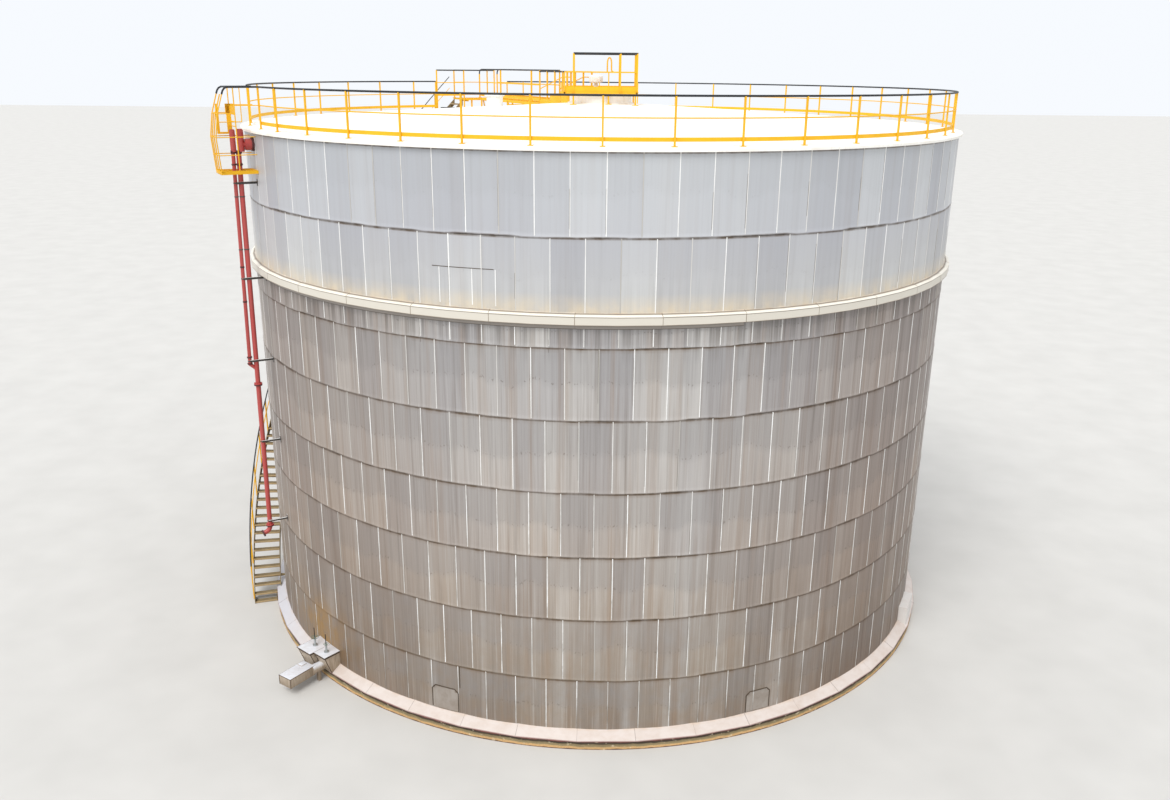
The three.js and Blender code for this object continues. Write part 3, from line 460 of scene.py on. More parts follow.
@dataclass(frozen=True)
class CladdingFinish:
    """Weathered metal cladding, clean and bluish at the top and browner towards the foot.

    The mesh carries a tone for each sheet, and a map that runs up each sheet from 0 to 1. The shade
    towards its sides, the glow just above the girder cover and part of the dark lap lines are
    painted light and shade.
    """

    name: str = "weathered_cladding"
    heights: tuple[tuple[float, Colour], ...] = (
        (0.00, (142, 131, 120)), (0.08, (151, 141, 130)), (0.20, (164, 153, 142)),
        (0.34, (176, 166, 157)), (0.50, (180, 174, 169)), (0.68, (180, 177, 175)),
        (0.745, (182, 179, 176)), (0.76, (200, 200, 198)), (0.86, (195, 196, 199)),
        (1.00, (195, 198, 201)))
    foot: float = 0.25
    top: float = 14.78
    girder: float = 11.29
    sheet_tones: tuple[tuple[float, Colour], ...] = (
        (0.0, (226, 226, 230)), (1.0, (255, 255, 255)))
    dark_streaks: Colour = (116, 104, 92)
    pale_streaks: Colour = (208, 205, 200)
    warm_streaks: Colour = (148, 118, 88)
    thin_streaks: Colour = (108, 94, 80)
    bright_streaks: Colour = (222, 219, 214)
    girder_streaks: Colour = (100, 94, 88)
    band: Colour = (136, 134, 134)
    specks: Colour = (84, 74, 62)
    drips: Colour = (110, 86, 60)
    # hem and head: rust brown at each level lap, partly painted shade under the lap.
    hem: Colour = (78, 64, 48)
    head: Colour = (92, 74, 54)
    # A warm glow just above the girder cover: painted light reflected from the cover.
    painted_glow: Colour = (234, 212, 172)
    soil: Colour = (140, 116, 88)
    side_shades: tuple[tuple[float, Colour], ...] = (
        (1.0, (222, 212, 206)), (-1.0, (228, 220, 214)))
    stain: Colour = (150, 116, 66)
    stain_place: Size = (-7.75, -7.1, 1.15)
    stain_reach: Size = (1.9, 2.0, 1.3)

    def material(self) -> Paint:
        """Builds the material: streaks first, then each sheet's edges, then the painted glow, soil
        and painted shade.

        Returns:
            The finished material.
        """
        sheet = NodeSheet(self.name)
        height = sheet.axis("Z")
        sheet.colour = sheet.stops(sheet.level(height, self.foot, self.top), self.heights)
        lower = sheet.level(height, self.girder - 0.2, self.girder, 1.0, 0.22)
        dark = self._streaks(sheet, lower)
        sheet.coat(sheet.stops(sheet.tone(), self.sheet_tones), 0.9, way=Blend.MULTIPLY)
        blotch = sheet.blots((3.2, 3.2, 2.2), 4.0, 0.6, 31.0, 0.35, 0.65)
        self._edges(sheet, lower, blotch)
        # Painted light: a warm glow on the wall just above the cream girder cover.
        painted_glow = sheet.level(height, self.girder - 0.02, self.girder, 0.0, 0.55)
        sheet.coat(self.painted_glow, sheet.near(height, self.girder + 0.01, 0.42), painted_glow,
                   sheet.level(blotch, 0.0, 1.0, 0.4, 1.0))
        sheet.coat(self.soil, sheet.level(height, 0.3, 5.0, 1.0, 0.0), blotch, 0.3)
        below = sheet.level(lower, 0.22, 1.0)
        for side, shade in self.side_shades:
            beside = sheet.level(sheet.axis("X"), 3.2 * side, 7.2 * side)
            sheet.coat(shade, beside, below, way=Blend.MULTIPLY)
        stain = [sheet.near(sheet.axis(name), place, reach)
                 for name, place, reach in zip("XYZ", self.stain_place, self.stain_reach)]
        sheet.coat(self.stain, *stain, sheet.level(blotch, 0.0, 1.0, 0.5, 1.6))
        sheet.relief(sheet.noise((1.6, 1.6, 0.7), 3.0, 0.5, 2.0), 0.35, 0.02)
        return sheet.dress(sheet.level(dark, 0.0, 1.0, 0.46, 0.72), 0.25)

    def _streaks(self, sheet: NodeSheet, lower: Socket) -> Socket:
        """Lays on the upright streaks.

        Args:
            sheet: The material's nodes.
            lower: 1 below the girder cover, weaker above it.

        Returns:
            Where the dark streaks are.
        """
        dark = sheet.blots((7.5, 7.5, 0.16), 5.0, 0.62, 0.0, 0.5, 0.78)
        dark = sheet.times(dark, lower)
        sheet.coat(self.dark_streaks, dark, 0.5)
        pale = sheet.blots((1.7, 1.7, 0.10), 3.0, 0.5, 6.0, 0.52, 0.74)
        sheet.coat(self.pale_streaks, pale, lower, 0.55)
        warm = sheet.blots((4.2, 4.2, 0.12), 4.0, 0.6, 17.0, 0.5, 0.72)
        sheet.coat(self.warm_streaks, warm, lower, 0.36)
        lines = sheet.noise((26.0, 26.0, 0.35), 3.0, 0.6, 11.0)
        sheet.coat(self.thin_streaks, sheet.level(lines, 0.55, 0.8), lower, 0.42)
        sheet.coat(self.bright_streaks, sheet.level(lines, 0.46, 0.3), lower, 0.22)
        under = sheet.near(sheet.axis("Z"), self.girder - 0.14, 1.1)
        stripes = sheet.blots((10.0, 10.0, 0.05), 3.0, 0.6, 23.0, 0.42, 0.6)
        sheet.coat(self.girder_streaks, stripes, under, lower, 0.75)
        return dark

    def _edges(self, sheet: NodeSheet, lower: Socket, blotch: Socket) -> None:
        """Lays on the band across each sheet's middle, the dirt under each lap, and the dark brown
        at each sheet's foot and head: rust, partly painted shade under the lap.

        Args:
            sheet: The material's nodes.
            lower: 1 below the girder cover, weaker above it.
            blotch: A broad pattern that breaks the dirt up.
        """
        up = sheet.across("Y")
        waves = sheet.blots((1.3, 1.3, 0.4), 2.0, 0.5, 41.0, 0.3, 0.7, -0.10, 0.10)
        wander = sheet.sum("ADD", up, waves)
        sheet.coat(self.band, sheet.level(wander, 0.44, 0.56, 0.0, 0.30), lower)
        specks = sheet.blots((24.0, 24.0, 14.0), 1.0, 0.5, 3.0, 0.60, 0.66)
        sheet.coat(self.specks, specks, sheet.near(wander, 0.52, 0.035), lower, 0.45)
        sheet.coat(self.drips, sheet.level(up, 0.93, 1.0, 0.0, 0.5), blotch, lower)
        # Dark brown at the hem and just under the next hem: rust, partly painted shade.
        sheet.coat(self.hem, sheet.level(up, 0.008, 0.022, 0.95, 0.0),
                   sheet.level(blotch, 0.0, 1.0, 0.6, 1.0))
        sheet.coat(self.head, sheet.level(up, 0.974, 0.988, 0.0, 0.9),
                   sheet.level(blotch, 0.0, 1.0, 0.45, 1.0))


@dataclass(frozen=True)
class LapFinish:
    """Pale sealed laps between the cladding sheets, some nearly hidden, broken by dirt.

    The mesh carries a tone for each lap: 0 for a clean pale one, 1 for one as dark as its sheet,
    2 for the shadow beside it.
    """

    name: str = "pale_laps"
    colour: Colour = (246, 246, 244)
    dirt: Colour = (150, 140, 128)
    hidden: Colour = (176, 172, 166)
    shadow: Colour = (104, 96, 86)
    soil: Colour = (104, 92, 80)

    def material(self) -> Paint:
        """Builds the material.

        Returns:
            The finished material.
        """
        sheet = NodeSheet(self.name, self.colour)
        height, tone = sheet.axis("Z"), sheet.tone()
        breaks = sheet.blots((9.0, 9.0, 1.3), 6.0, 0.75, 7.0, 0.44, 0.60)
        sheet.coat(self.dirt, breaks, sheet.level(height, 2.0, 11.3, 0.7, 0.2))
        sheet.coat(self.hidden, sheet.level(tone, 0.0, 1.0))
        sheet.coat(self.shadow, sheet.level(tone, 1.4, 1.6))
        patch = sheet.blots((5.0, 5.0, 0.7), 3.0, 0.6, 13.0, 0.38, 0.55)
        sheet.coat(self.soil, sheet.level(height, 1.9, 0.6, 0.0, 0.75), patch)
        sheet.relief(sheet.noise((40.0, 40.0, 40.0), 3.0, 0.6), 0.2, 0.002)
        return sheet.dress(0.5, 0.1)


@dataclass(frozen=True)
class Paints:
    """The finishes that several sub-assemblies share."""

    yellow: Paint
    black: Paint
    white: Paint


@dataclass
class Painted:
    """A sub-assembly in the shared finishes."""

    paints: Paints


class Metalwork:
    """A piece in the making, shaped with mesh operators in the tank's own frame.

    Azimuths are in degrees, and sizes, distances and heights in metres.
    """

    def __init__(self) -> None:
        """Starts with an empty mesh."""
        self.shape = bmesh.new()

    def box(self, low: Size, high: Size, azimuth: float = 0.0, bevel: float = 0.0) -> None:
        """Adds a box given by two corners, turned to an azimuth.

        Args:
            low: The lowest corner before the turn.
            high: The highest corner before the turn.
            azimuth: Degrees turned about the tank's axis.
            bevel: Width of the rounding along its edges, 0 for none.
        """
        low, high = Vector(low), Vector(high)
        matrix = (turned(azimuth) @ Matrix.Translation((low + high) / 2)
                  @ Matrix.Diagonal((*(high - low), 1.0)))
        made = bmesh.ops.create_cube(self.shape, size=1.0, matrix=matrix)
        if bevel:
            edges = {edge for vert in made["verts"] for edge in vert.link_edges}
            bmesh.ops.bevel(self.shape, geom=list(edges), offset=bevel, segments=2,
                            profile=0.5, affect="EDGES", material=-1)

    def wall_box(self, azimuth: float, width: float, near: float, far: float, foot: float,
                 top: float) -> None:
        """Adds a box that faces away from the tank, width wide along the wall."""
        self.box((-width / 2, -far, foot), (width / 2, -near, top), azimuth)

    def bar(self, start: Vector, end: Vector, radius: float, sides: int = 8) -> None:
        """Adds a straight round bar.

        Args:
            start: One end.
            end: The other end.
            radius: Metres.
            sides: How many flats it has.
        """
        span = end - start
        turn = span.to_track_quat("Z", "Y").to_matrix().to_4x4()
        bmesh.ops.create_cone(self.shape, cap_ends=True, segments=sides, radius1=radius,
                              radius2=radius, depth=span.length,
                              matrix=Matrix.Translation((start + end) / 2) @ turn)

    def flat_bar(self, start: Vector, end: Vector, thickness: float, depth: float) -> None:
        """Adds a straight bar of flat section that stands on its edge.

        Args:
            start: Middle of one end.
            end: Middle of the other end.
            thickness: Metres across, level.
            depth: Metres from its lower to its upper edge.
        """
        span = end - start
        turn = span.to_track_quat("X", "Z").to_matrix().to_4x4()
        matrix = (Matrix.Translation((start + end) / 2) @ turn
                  @ Matrix.Diagonal((span.length, thickness, depth, 1.0)))
        bmesh.ops.create_cube(self.shape, size=1.0, matrix=matrix)

    def pipe(self, points: list[Vector], radius: float, sides: int = 10) -> None:
        """Adds a pipe along a line of points, mitred at each.

        Args:
            points: The line that its middle follows.
            radius: Metres.
            sides: How many flats it has.
        """
        first = points[1] - points[0]
        turn = first.to_track_quat("Z", "Y").to_matrix().to_4x4()
        made = bmesh.ops.create_circle(self.shape, cap_ends=True, segments=sides, radius=radius,
                                       matrix=Matrix.Translation(points[0]) @ turn)
        face = next(f for f in made["verts"][0].link_faces if len(f.verts) == sides)
        way = first.normalized()
        for number, point in enumerate(points[1:], start=1):
            last = number == len(points) - 1
            after = way if last else (points[number + 1] - point).normalized()
            plane = (way + after).normalized()
            face, moved = self._extrude(face, number == 1)
            for vert in moved:
                vert.co += way * ((point - vert.co).dot(plane) / way.dot(plane))
            way = after

    def _extrude(self, face: bmesh.types.BMFace, first: bool
                 ) -> tuple[bmesh.types.BMFace, list[bmesh.types.BMVert]]:
        """Pulls a face out of a bar, where it still is.

        Args:
            face: The bar's end.
            first: True if it is the bar's first face, which stays as its other end.

        Returns:
            The new end, and its corners for the caller to move.
        """
        made = bmesh.ops.extrude_face_region(self.shape, geom=[face])["geom"]
        if not first:
            bmesh.ops.delete(self.shape, geom=[face], context="FACES_ONLY")
        return (next(g for g in made if isinstance(g, bmesh.types.BMFace)),
                [g for g in made if isinstance(g, bmesh.types.BMVert)])

    def _spin(self, section: Section, steps: int, closed: bool) -> None:
        """Turns a section right round the tank's axis.

        Args:
            section: Corners as (distance from the axis, height).
            steps: How many flats it has.
            closed: True if the last corner joins the first.
        """
        corners = [self.shape.verts.new(spot(0.0, *corner)) for corner in section]
        edges = [self.shape.edges.new((corners[i - 1], corners[i]))
                 for i in range(0 if closed else 1, len(corners))]
        bmesh.ops.spin(self.shape, geom=corners + edges, cent=(0, 0, 0), axis=(0, 0, 1),
                       angle=tau, steps=steps, use_merge=True, use_duplicate=False)

    def ring(self, section: Section, steps: int, centre: Vector | None = None) -> None:
        """Turns a closed section right round the tank, or round another upright axis.

        Args:
            section: Corners as (distance from the axis, height).
            steps: How many flats the ring has.
            centre: Where the ring is moved, or None for a ring round the tank.
        """
        done = set(self.shape.verts)
        self._spin(section, steps, True)
        if centre:
            bmesh.ops.translate(self.shape, verts=[v for v in self.shape.verts if v not in done],
                                vec=centre)

    def disc(self, profile: Section, steps: int) -> None:
        """Turns an open profile that starts and ends on the axis into a solid."""
        self._spin(profile, steps, False)
        bmesh.ops.remove_doubles(self.shape, verts=self.shape.verts, dist=1e-5)

    def stretch(self, section: Section, start: float, end: float, steps: int,
                climb: float = 0.0) -> None:
        """Turns a closed section part of the way round, which may climb.

        Args:
            section: Corners as (distance from the axis, height).
            start: Azimuth where it starts.
            end: Azimuth where it ends.
            steps: How many straight lengths it has.
            climb: Metres that the end is higher than the start.
        """
        face = self.shape.faces.new([self.shape.verts.new(spot(start, *c)) for c in section])
        move = Matrix.Translation(UP * (climb / steps)) @ turned((end - start) / steps)
        for step in range(steps):
            face, moved = self._extrude(face, step == 0)
            bmesh.ops.transform(self.shape, verts=moved, matrix=move)

    def round_bar(self, distance: float, height: float, start: float, end: float,
                  radius: float, steps: int, climb: float = 0.0, sides: int = 8) -> None:
        """Adds a round bar bent round the tank.

        Args:
            distance: Of its middle from the axis.
            height: Of its middle at the start.
            start: Azimuth where it starts.
            end: Azimuth where it ends.
            radius: Metres.
            steps: How many straight lengths it has.
            climb: Metres that the end is higher than the start.
            sides: How many flats its section has.
        """
        section = [(distance + radius * cos(tau * k / sides),
                    height + radius * sin(tau * k / sides)) for k in range(sides)]
        self.stretch(section, start, end, steps, climb)

    def prism(self, profile: Section, left: float, right: float) -> None:
        """Extrudes a profile sideways.

        Args:
            profile: Corners as (distance out from the wall, height).
            left: X of one end.
            right: X of the other end.
        """
        face = self.shape.faces.new([self.shape.verts.new((left, -out, height))
                                     for out, height in profile])
        moved = self._extrude(face, True)[1]
        bmesh.ops.translate(self.shape, verts=moved, vec=(right - left, 0.0, 0.0))

    def wheel(self, centre: Vector, radius: float, thickness: float) -> None:
        """Adds a handwheel that lies level.

        Args:
            centre: Its middle.
            radius: Of the middle of its rim.
            thickness: Of its rim.
        """
        half = thickness / 2
        self.ring([(radius + half * cos(tau * k / 6), half * sin(tau * k / 6))
                   for k in range(6)], 24, centre)
        for k in range(4):
            out = Vector((cos(tau * k / 4), sin(tau * k / 4), 0.0)) * radius
            self.bar(centre, centre + out, half * 0.8, 6)
        self.bar(centre - UP * thickness, centre + UP * thickness, radius * 0.22, 12)

    def place(self, matrix: Matrix) -> None:
        """Moves the whole piece."""
        bmesh.ops.transform(self.shape, verts=self.shape.verts, matrix=matrix)

    def flange(self, centre: Vector, way: Vector, radius: float, thickness: float,
               bolts: int = 8) -> None:
        """Adds a bolted flange.

        Args:
            centre: Its middle.
            way: The pipe's direction.
            radius: Of its rim.
            thickness: Along the pipe.
            bolts: How many bolts stand round it.
        """
        way = way.normalized()
        self.bar(centre - way * thickness / 2, centre + way * thickness / 2, radius, 20)
        side = way.orthogonal().normalized()
        for k in range(bolts):
            out = Matrix.Rotation(tau * k / bolts, 3, way) @ side
            middle = centre + out * radius * 0.8
            self.bar(middle - way * thickness * 0.95, middle + way * thickness * 0.95,
                     radius * 0.11, 6)

    def finish(self, name: str, material: Paint, slot: Slot,
               replaces: tuple[str, ...] = ()) -> None:
        """Makes the mesh an object of the tank, its shading broken at edges over 30 degrees.

        Args:
            name: The piece's name.
            material: Its finish.
            slot: The record's slot that the finish belongs to; not used.
            replaces: The solids that it stands for.
        """
        bmesh.ops.recalc_face_normals(self.shape, faces=self.shape.faces)
        mesh = bpy.data.meshes.new(name)
        self.shape.to_mesh(mesh)
        self.shape.free()
        mesh.materials.append(material)
        mesh.polygons.foreach_set("use_smooth", [True] * len(mesh.polygons))
        mesh.set_sharp_from_angle(angle=radians(30.0))
        piece = bpy.data.objects.new(name, mesh)
        bpy.context.scene.collection.objects.link(piece)
        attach(piece, "root")
        if replaces:
            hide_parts(*replaces)
        LOG.info("%s: %d faces", name, len(mesh.polygons))


def map_sheets(shape: bmesh.types.BMesh, pitch: float, phase: float, foot: float, top: float,
               tones: list[float]) -> None:
    """Gives each face a map across and up its sheet, and its sheet's tone.

    Args:
        shape: The mesh, whose faces don't cross from one sheet to another.
        pitch: Degrees from one upright joint to the next.
        phase: Azimuth of one joint.
        foot: Height where the map starts.
        top: Height where it ends.
        tones: A tone for each sheet round the ring.
    """
    layer = shape.loops.layers.uv.new(SHEET_MAP)
    tone = shape.loops.layers.float.new(TONE)
    for face in shape.faces:
        middle = (azimuth_of(face.calc_center_median()) - phase) % 360.0
        number = int(middle / pitch)
        for loop in face.loops:
            turn = (azimuth_of(loop.vert.co) - phase) % 360.0 - number * pitch
            turn = (turn + 180.0) % 360.0 - 180.0
            loop[layer].uv = (turn / pitch, (loop.vert.co.z - foot) / (top - foot))
            loop[tone] = tones[number % len(tones)]


@dataclass
class Foundation:
    """Concrete ring that stands a little proud of the ground."""

    radius: float = 10.775
    height: float = 0.24
    chamfer: float = 0.02
    steps: int = 240
    roughening: float = 0.006
    finish: ConcreteFinish = ConcreteFinish()

    def build(self) -> None:
        """Builds the ring as a full disc with a slightly uneven outer edge."""
        work = Metalwork()
        work.disc([(0.0, 0.0), (self.radius, 0.0), (self.radius, self.height * 0.5),
                   (self.radius, self.height - self.chamfer),
                   (self.radius - self.chamfer, self.height), (0.0, self.height)], self.steps)
        draw = random.Random(7)
        for vert in work.shape.verts:
            if vert.co.z > 0.05 and vert.co.xy.length > self.radius - 0.03:
                vert.co.xy *= 1.0 - draw.uniform(0.0, self.roughening) * 0.25
        work.finish("foundation_ring", self.finish.material(), Slot.CONCRETE, ("foundation",))


@dataclass
class KerbFlashing:
    """White sloping flashing round the foot of the cladding, in straight lengths."""

    wall: float = WALL
    outside: float = 10.815
    junction: float = 0.44
    lip: float = 0.258
    seat: float = 0.241
    lengths: int = 44
    phase: float = -2.2
    overlap: float = 0.12
    lift: float = 0.003
    finish: CoverFinish = CoverFinish(
        "white_kerb", (208, 197, 190), (184, 164, 148), (84, 66, 54), 0.010, 0.35,
        (128, 74, 70), shaded=(190, 191, 199))

    def build(self) -> None:
        """Builds each length, its ends lapped over the next by turns."""
        work = Metalwork()
        layer = work.shape.loops.layers.uv.new(SHEET_MAP)
        pitch = 360.0 / self.lengths
        for number in range(self.lengths):
            lift = self.lift if number % 2 else 0.0
            start = self.phase + number * pitch - self.overlap
            end = start + pitch + 2 * self.overlap
            corners = [(self.wall - SHEET_ROOT, self.junction + lift),
                       (self.outside - 0.004, self.lip + lift),
                       (self.outside - 0.004, self.seat), (self.outside - 0.035, self.seat),
                       (self.wall - SHEET_ROOT, self.junction - 0.02)]
            done = set(work.shape.faces)
            work.stretch(corners, start, end, 1)
            map_length([f for f in work.shape.faces if f not in done], layer, start, end,
                       self.outside, self.wall)
        work.finish("kerb_sheets", self.finish.material(), Slot.WHITE, ("kerb_flashing",))


def map_length(faces: list[bmesh.types.BMFace], layer: bmesh.types.BMLayerItem, start: float,
               end: float, outside: float, wall: float) -> None:
    """Maps one straight length along and across.

    Args:
        faces: The faces of the length.
        layer: The map's layer.
        start: Azimuth of one end.
        end: Azimuth of the other end.
        outside: Distance from the axis where the map is 0 across.
        wall: Distance from the axis where it is 1.
    """
    middle = (start + end) / 2
    for face in faces:
        for loop in face.loops:
            turn = (azimuth_of(loop.vert.co) - middle + 180.0) % 360.0 - 180.0
            away = loop.vert.co.xy.length
            loop[layer].uv = (0.5 + turn / (end - start), (outside - away) / (outside - wall))


@dataclass
class Cladding:
    """Courses of metal sheet over the insulation, with a hem at each level lap."""

    radius: float = WALL
    depth: float = 0.05
    laps: tuple[float, ...] = (0.252, 1.824, 3.539, 5.237, 6.917, 8.727, 10.458, 11.21, 12.943,
                               14.78)
    phases: tuple[float, ...] = (2.1, 0.15, 2.35, 4.15, 2.1, 0.28, 2.6, 2.75, 0.85)
    sheets: int = 84
    flats: int = 3
    hem: float = 0.010
    hem_height: float = 0.030
    lap_width: float = 0.022
    lap_stray: float = 0.04
    lap_rarity: float = 2.6
    shadow_width: float = 0.007
    shadow_share: float = 0.6
    lap_height: float = 0.006
    sag: float = 0.016
    finish: CladdingFinish = CladdingFinish()
    lap_finish: LapFinish = LapFinish()

    def build(self) -> None:
        """Builds each course and the upright laps of them all."""
        material = self.finish.material()
        draw = random.Random(21)
        strips = Metalwork()
        strip_tone = strips.shape.loops.layers.float.new(TONE)
        for number, (foot, top) in enumerate(zip(self.laps, self.laps[1:])):
            tones = [draw.random() for _ in range(self.sheets)]
            self._course(number, foot, top, tones, material, draw)
            self._strips(strips, strip_tone, number, foot, top, draw)
        strips.finish("upright_laps", self.lap_finish.material(), Slot.CLADDING)

    def _course(self, number: int, foot: float, top: float, tones: list[float],
                material: Paint, draw: random.Random) -> None:
        """Builds one ring of sheets.

        Args:
            number: The course, 0 at the foot.
            foot: Height of its hem.
            top: Height of the next hem.
            tones: A tone for each sheet.
            material: The cladding's finish.
            draw: Where random numbers come from.
        """
        inner, hem = self.radius - self.depth, self.radius + self.hem
        work = Metalwork()
        work.ring([(inner, foot), (hem, foot), (hem, foot + self.hem_height),
                   (self.radius + 0.003, foot + self.hem_height * 1.6),
                   (self.radius, foot + 0.12), (self.radius, top), (inner, top)],
                  self.sheets * self.flats)
        pitch, phase = 360.0 / self.sheets, self.phases[number]
        work.place(turned(phase))
        map_sheets(work.shape, pitch, phase, foot, top, tones)
        drops = [draw.uniform(-self.sag, self.sag) for _ in range(self.sheets)]
        for vert in work.shape.verts:
            if foot > 0.3 and vert.co.z < foot + 0.06:
                sheet = int(round(((azimuth_of(vert.co) - phase) % 360.0) / pitch))
                vert.co.z += drops[sheet % self.sheets]
        work.finish(f"cladding_sheets_{number + 1}", material, Slot.CLADDING,
                    (f"cladding_course_{number + 1}",))

    def _strips(self, work: Metalwork, tone: bmesh.types.BMLayerItem, number: int,
                foot: float, top: float, draw: random.Random) -> None:
        """Adds the upright laps of one course.

        Args:
            work: The piece that takes them.
            tone: The layer of their tones.
            number: The course, 0 at the foot.
            foot: Height of the course's hem.
            top: Height of the next hem.
            draw: Where random numbers come from.
        """
        lap = self.radius + self.lap_height
        for sheet in range(self.sheets):
            azimuth = self.phases[number] + sheet * 360.0 / self.sheets
            azimuth += draw.uniform(-self.lap_stray, self.lap_stray)
            value = min(1.0, draw.random() ** self.lap_rarity * 1.1)
            made = len(work.shape.faces)
            work.wall_box(azimuth, self.lap_width * draw.uniform(0.8, 1.1), self.radius - LAP_ROOT,
                          lap, foot + 0.035, top + 0.004)
            self._tone(work, tone, made, value)
            if draw.random() < self.shadow_share:
                made = len(work.shape.faces)
                beside = azimuth - degrees((self.lap_width + self.shadow_width) / 2 / self.radius)
                work.wall_box(beside, self.shadow_width, self.radius - LAP_ROOT,
                              self.radius + 0.002, foot + draw.uniform(0.04, 0.5),
                              top - draw.uniform(0.0, 0.9))
                self._tone(work, tone, made, 2.0)

    @staticmethod
    def _tone(work: Metalwork, tone: bmesh.types.BMLayerItem, first: int, value: float) -> None:
        """Writes the tone of the faces added last.

        Args:
            work: The piece.
            tone: The layer of its tones.
            first: The number of the first face that was added.
            value: The tone.
        """
        work.shape.faces.ensure_lookup_table()
        for place in range(first, len(work.shape.faces)):
            for loop in work.shape.faces[place].loops:
                loop[tone] = value


@dataclass
class GirderCover:
    """Cream cover over the wind girder, in straight lengths, and the strap below it."""

    wall: float = WALL
    outside: float = 10.65
    bottom: float = 11.025
    lip: float = 11.23
    junction: float = 11.292
    count: int = 34
    phase: float = -2.75
    overlap: float = 0.05
    lift: float = 0.003
    fold: float = 0.007
    strap: tuple[float, float, float] = (10.915, 11.03, 10.512)
    strap_gap: tuple[float, float] = (17.56, 71.0)
    # Cream cover: its front colour is painted shade on the fascia, and its three lines are painted
    # shade at its folds and foot.
    finish: CoverFinish = CoverFinish(
        "cream_cover", (233, 228, 217), (214, 204, 186), (112, 92, 68), 0.006, 0.7,
        (233, 228, 217), 0.01,
        ((11.272, 0.018, 0.95), (11.214, 0.013, 0.95), (11.026, 0.022, 1.0)),
        front=(206, 200, 188))
    # Strap: its two dark lines are painted shade, one under the fascia and one at its own foot.
    strap_finish: CoverFinish = CoverFinish(
        "strap_sheet", (160, 152, 144), (138, 126, 112), (84, 72, 58), 0.006, 0.0,
        (160, 152, 144), 0.01, ((10.918, 0.014, 1.0), (11.02, 0.04, 0.9)), (66, 54, 42))

    def build(self) -> None:
        """Builds the lengths of the cover and of the strap round the tank."""
        inner, low = self.outside - self.fold, self.bottom + 0.012
        cover = [(self.wall - SHEET_ROOT, self.bottom), (self.outside, self.bottom),
                 (self.outside, low), (inner, low + 0.003), (inner, self.lip - 0.017),
                 (self.outside, self.lip - 0.013), (self.outside, self.lip - 0.002),
                 (self.wall - SHEET_ROOT, self.junction + 0.010)]
        foot, top, away = self.strap
        strap = strip(self.wall - 0.02, away, foot, top)
        work = self._lengths(cover, self.outside, (0.0, 0.0), self.lift, 2)
        work.finish("girder_cover_sheets", self.finish.material(), Slot.CREAM,
                    ("girder_cover",))
        work = self._lengths(strap, away, self.strap_gap, 0.0, 8)
        work.finish("strap_sheets", self.strap_finish.material(), Slot.CLADDING)

    def _lengths(self, corners: Section, outside: float, gap: tuple[float, float],
                 lift: float, flats: int) -> Metalwork:
        """Builds straight lengths of one section all round.

        Args:
            corners: The section.
            outside: Distance from the axis where the map across is 0.
            gap: Azimuths between which no length starts.
            lift: How far every second length is raised, so that it laps over its neighbours.
            flats: How many flats one length has.

        Returns:
            The piece.
        """
        work = Metalwork()
        layer = work.shape.loops.layers.uv.new(SHEET_MAP)
        turn = 360.0 / self.count
        for number in range(self.count):
            start = self.phase + number * turn
            if gap[0] <= start < gap[1]:
                continue
            up = lift if number % 2 else 0.0
            done = set(work.shape.faces)
            work.stretch([(away - up / 2, height + up) for away, height in corners],
                         start - self.overlap, start + turn + self.overlap, flats)
            map_length([f for f in work.shape.faces if f not in done], layer, start,
                       start + turn, outside, self.wall)
        return work


@dataclass
class Roof:
    """Low white cone roof with lapped plates, and the drip edge round its rim."""

    rim: float = WALL
    edge: float = 10.6
    steps: int = 252
    underside: tuple[float, float] = (14.785, 15.42)
    plate_rings: tuple[float, ...] = (2.0, 4.1, 6.2, 8.3, 10.28)
    first_plates: int = 8
    lap: float = 0.03
    seam: tuple[float, float] = (0.06, 0.010)
    finish: PaintFinish = PaintFinish(
        "white_roof", (248, 247, 243), (224, 219, 208), (170, 130, 90), 0.3, 0.08, 0.55)
    drip_finish: PaintFinish = PaintFinish(
        "white_drip_edge", (248, 246, 240), (206, 186, 160), (170, 120, 70), 0.35, 0.15)

    def build(self) -> None:
        """Builds the cone, its laps and the drip edge."""
        work = Metalwork()
        foot, middle = self.underside
        work.disc([(0.0, APEX), (self.rim, RIM_TOP), (self.rim, foot), (0.0, middle)], self.steps)
        for count, (start, end) in enumerate(zip(self.plate_rings, self.plate_rings[1:])):
            base = roof_height(start)
            work.ring([(start - self.lap, base - 0.01), (start + self.lap, base - 0.01),
                       (start + self.lap, roof_height(start + self.lap) + 0.005),
                       (start - self.lap, roof_height(start - self.lap) + 0.005)], 120)
            plates = self.first_plates * (count + 1)
            for k in range(plates):
                azimuth = 360.0 * (k + 0.5 * (count % 2)) / plates
                work.flat_bar(spot(azimuth, start, base), spot(azimuth, end, roof_height(end)),
                              *self.seam)
        work.finish("roof_plates", self.finish.material(), Slot.WHITE, ("roof_cone",))
        drip = Metalwork()
        top = 14.858
        drip.ring([(self.rim - 0.04, 14.775), (self.rim + 0.030, 14.79),
                   (self.edge - 0.012, 14.784), (self.edge - 0.004, 14.788),
                   (self.edge - 0.002, top - 0.012), (self.edge - 0.010, top),
                   (self.rim - 0.04, top + 0.010)], self.steps)
        drip.finish("roof_drip_edge", self.drip_finish.material(), Slot.WHITE,
                    ("roof_edge_trim",))


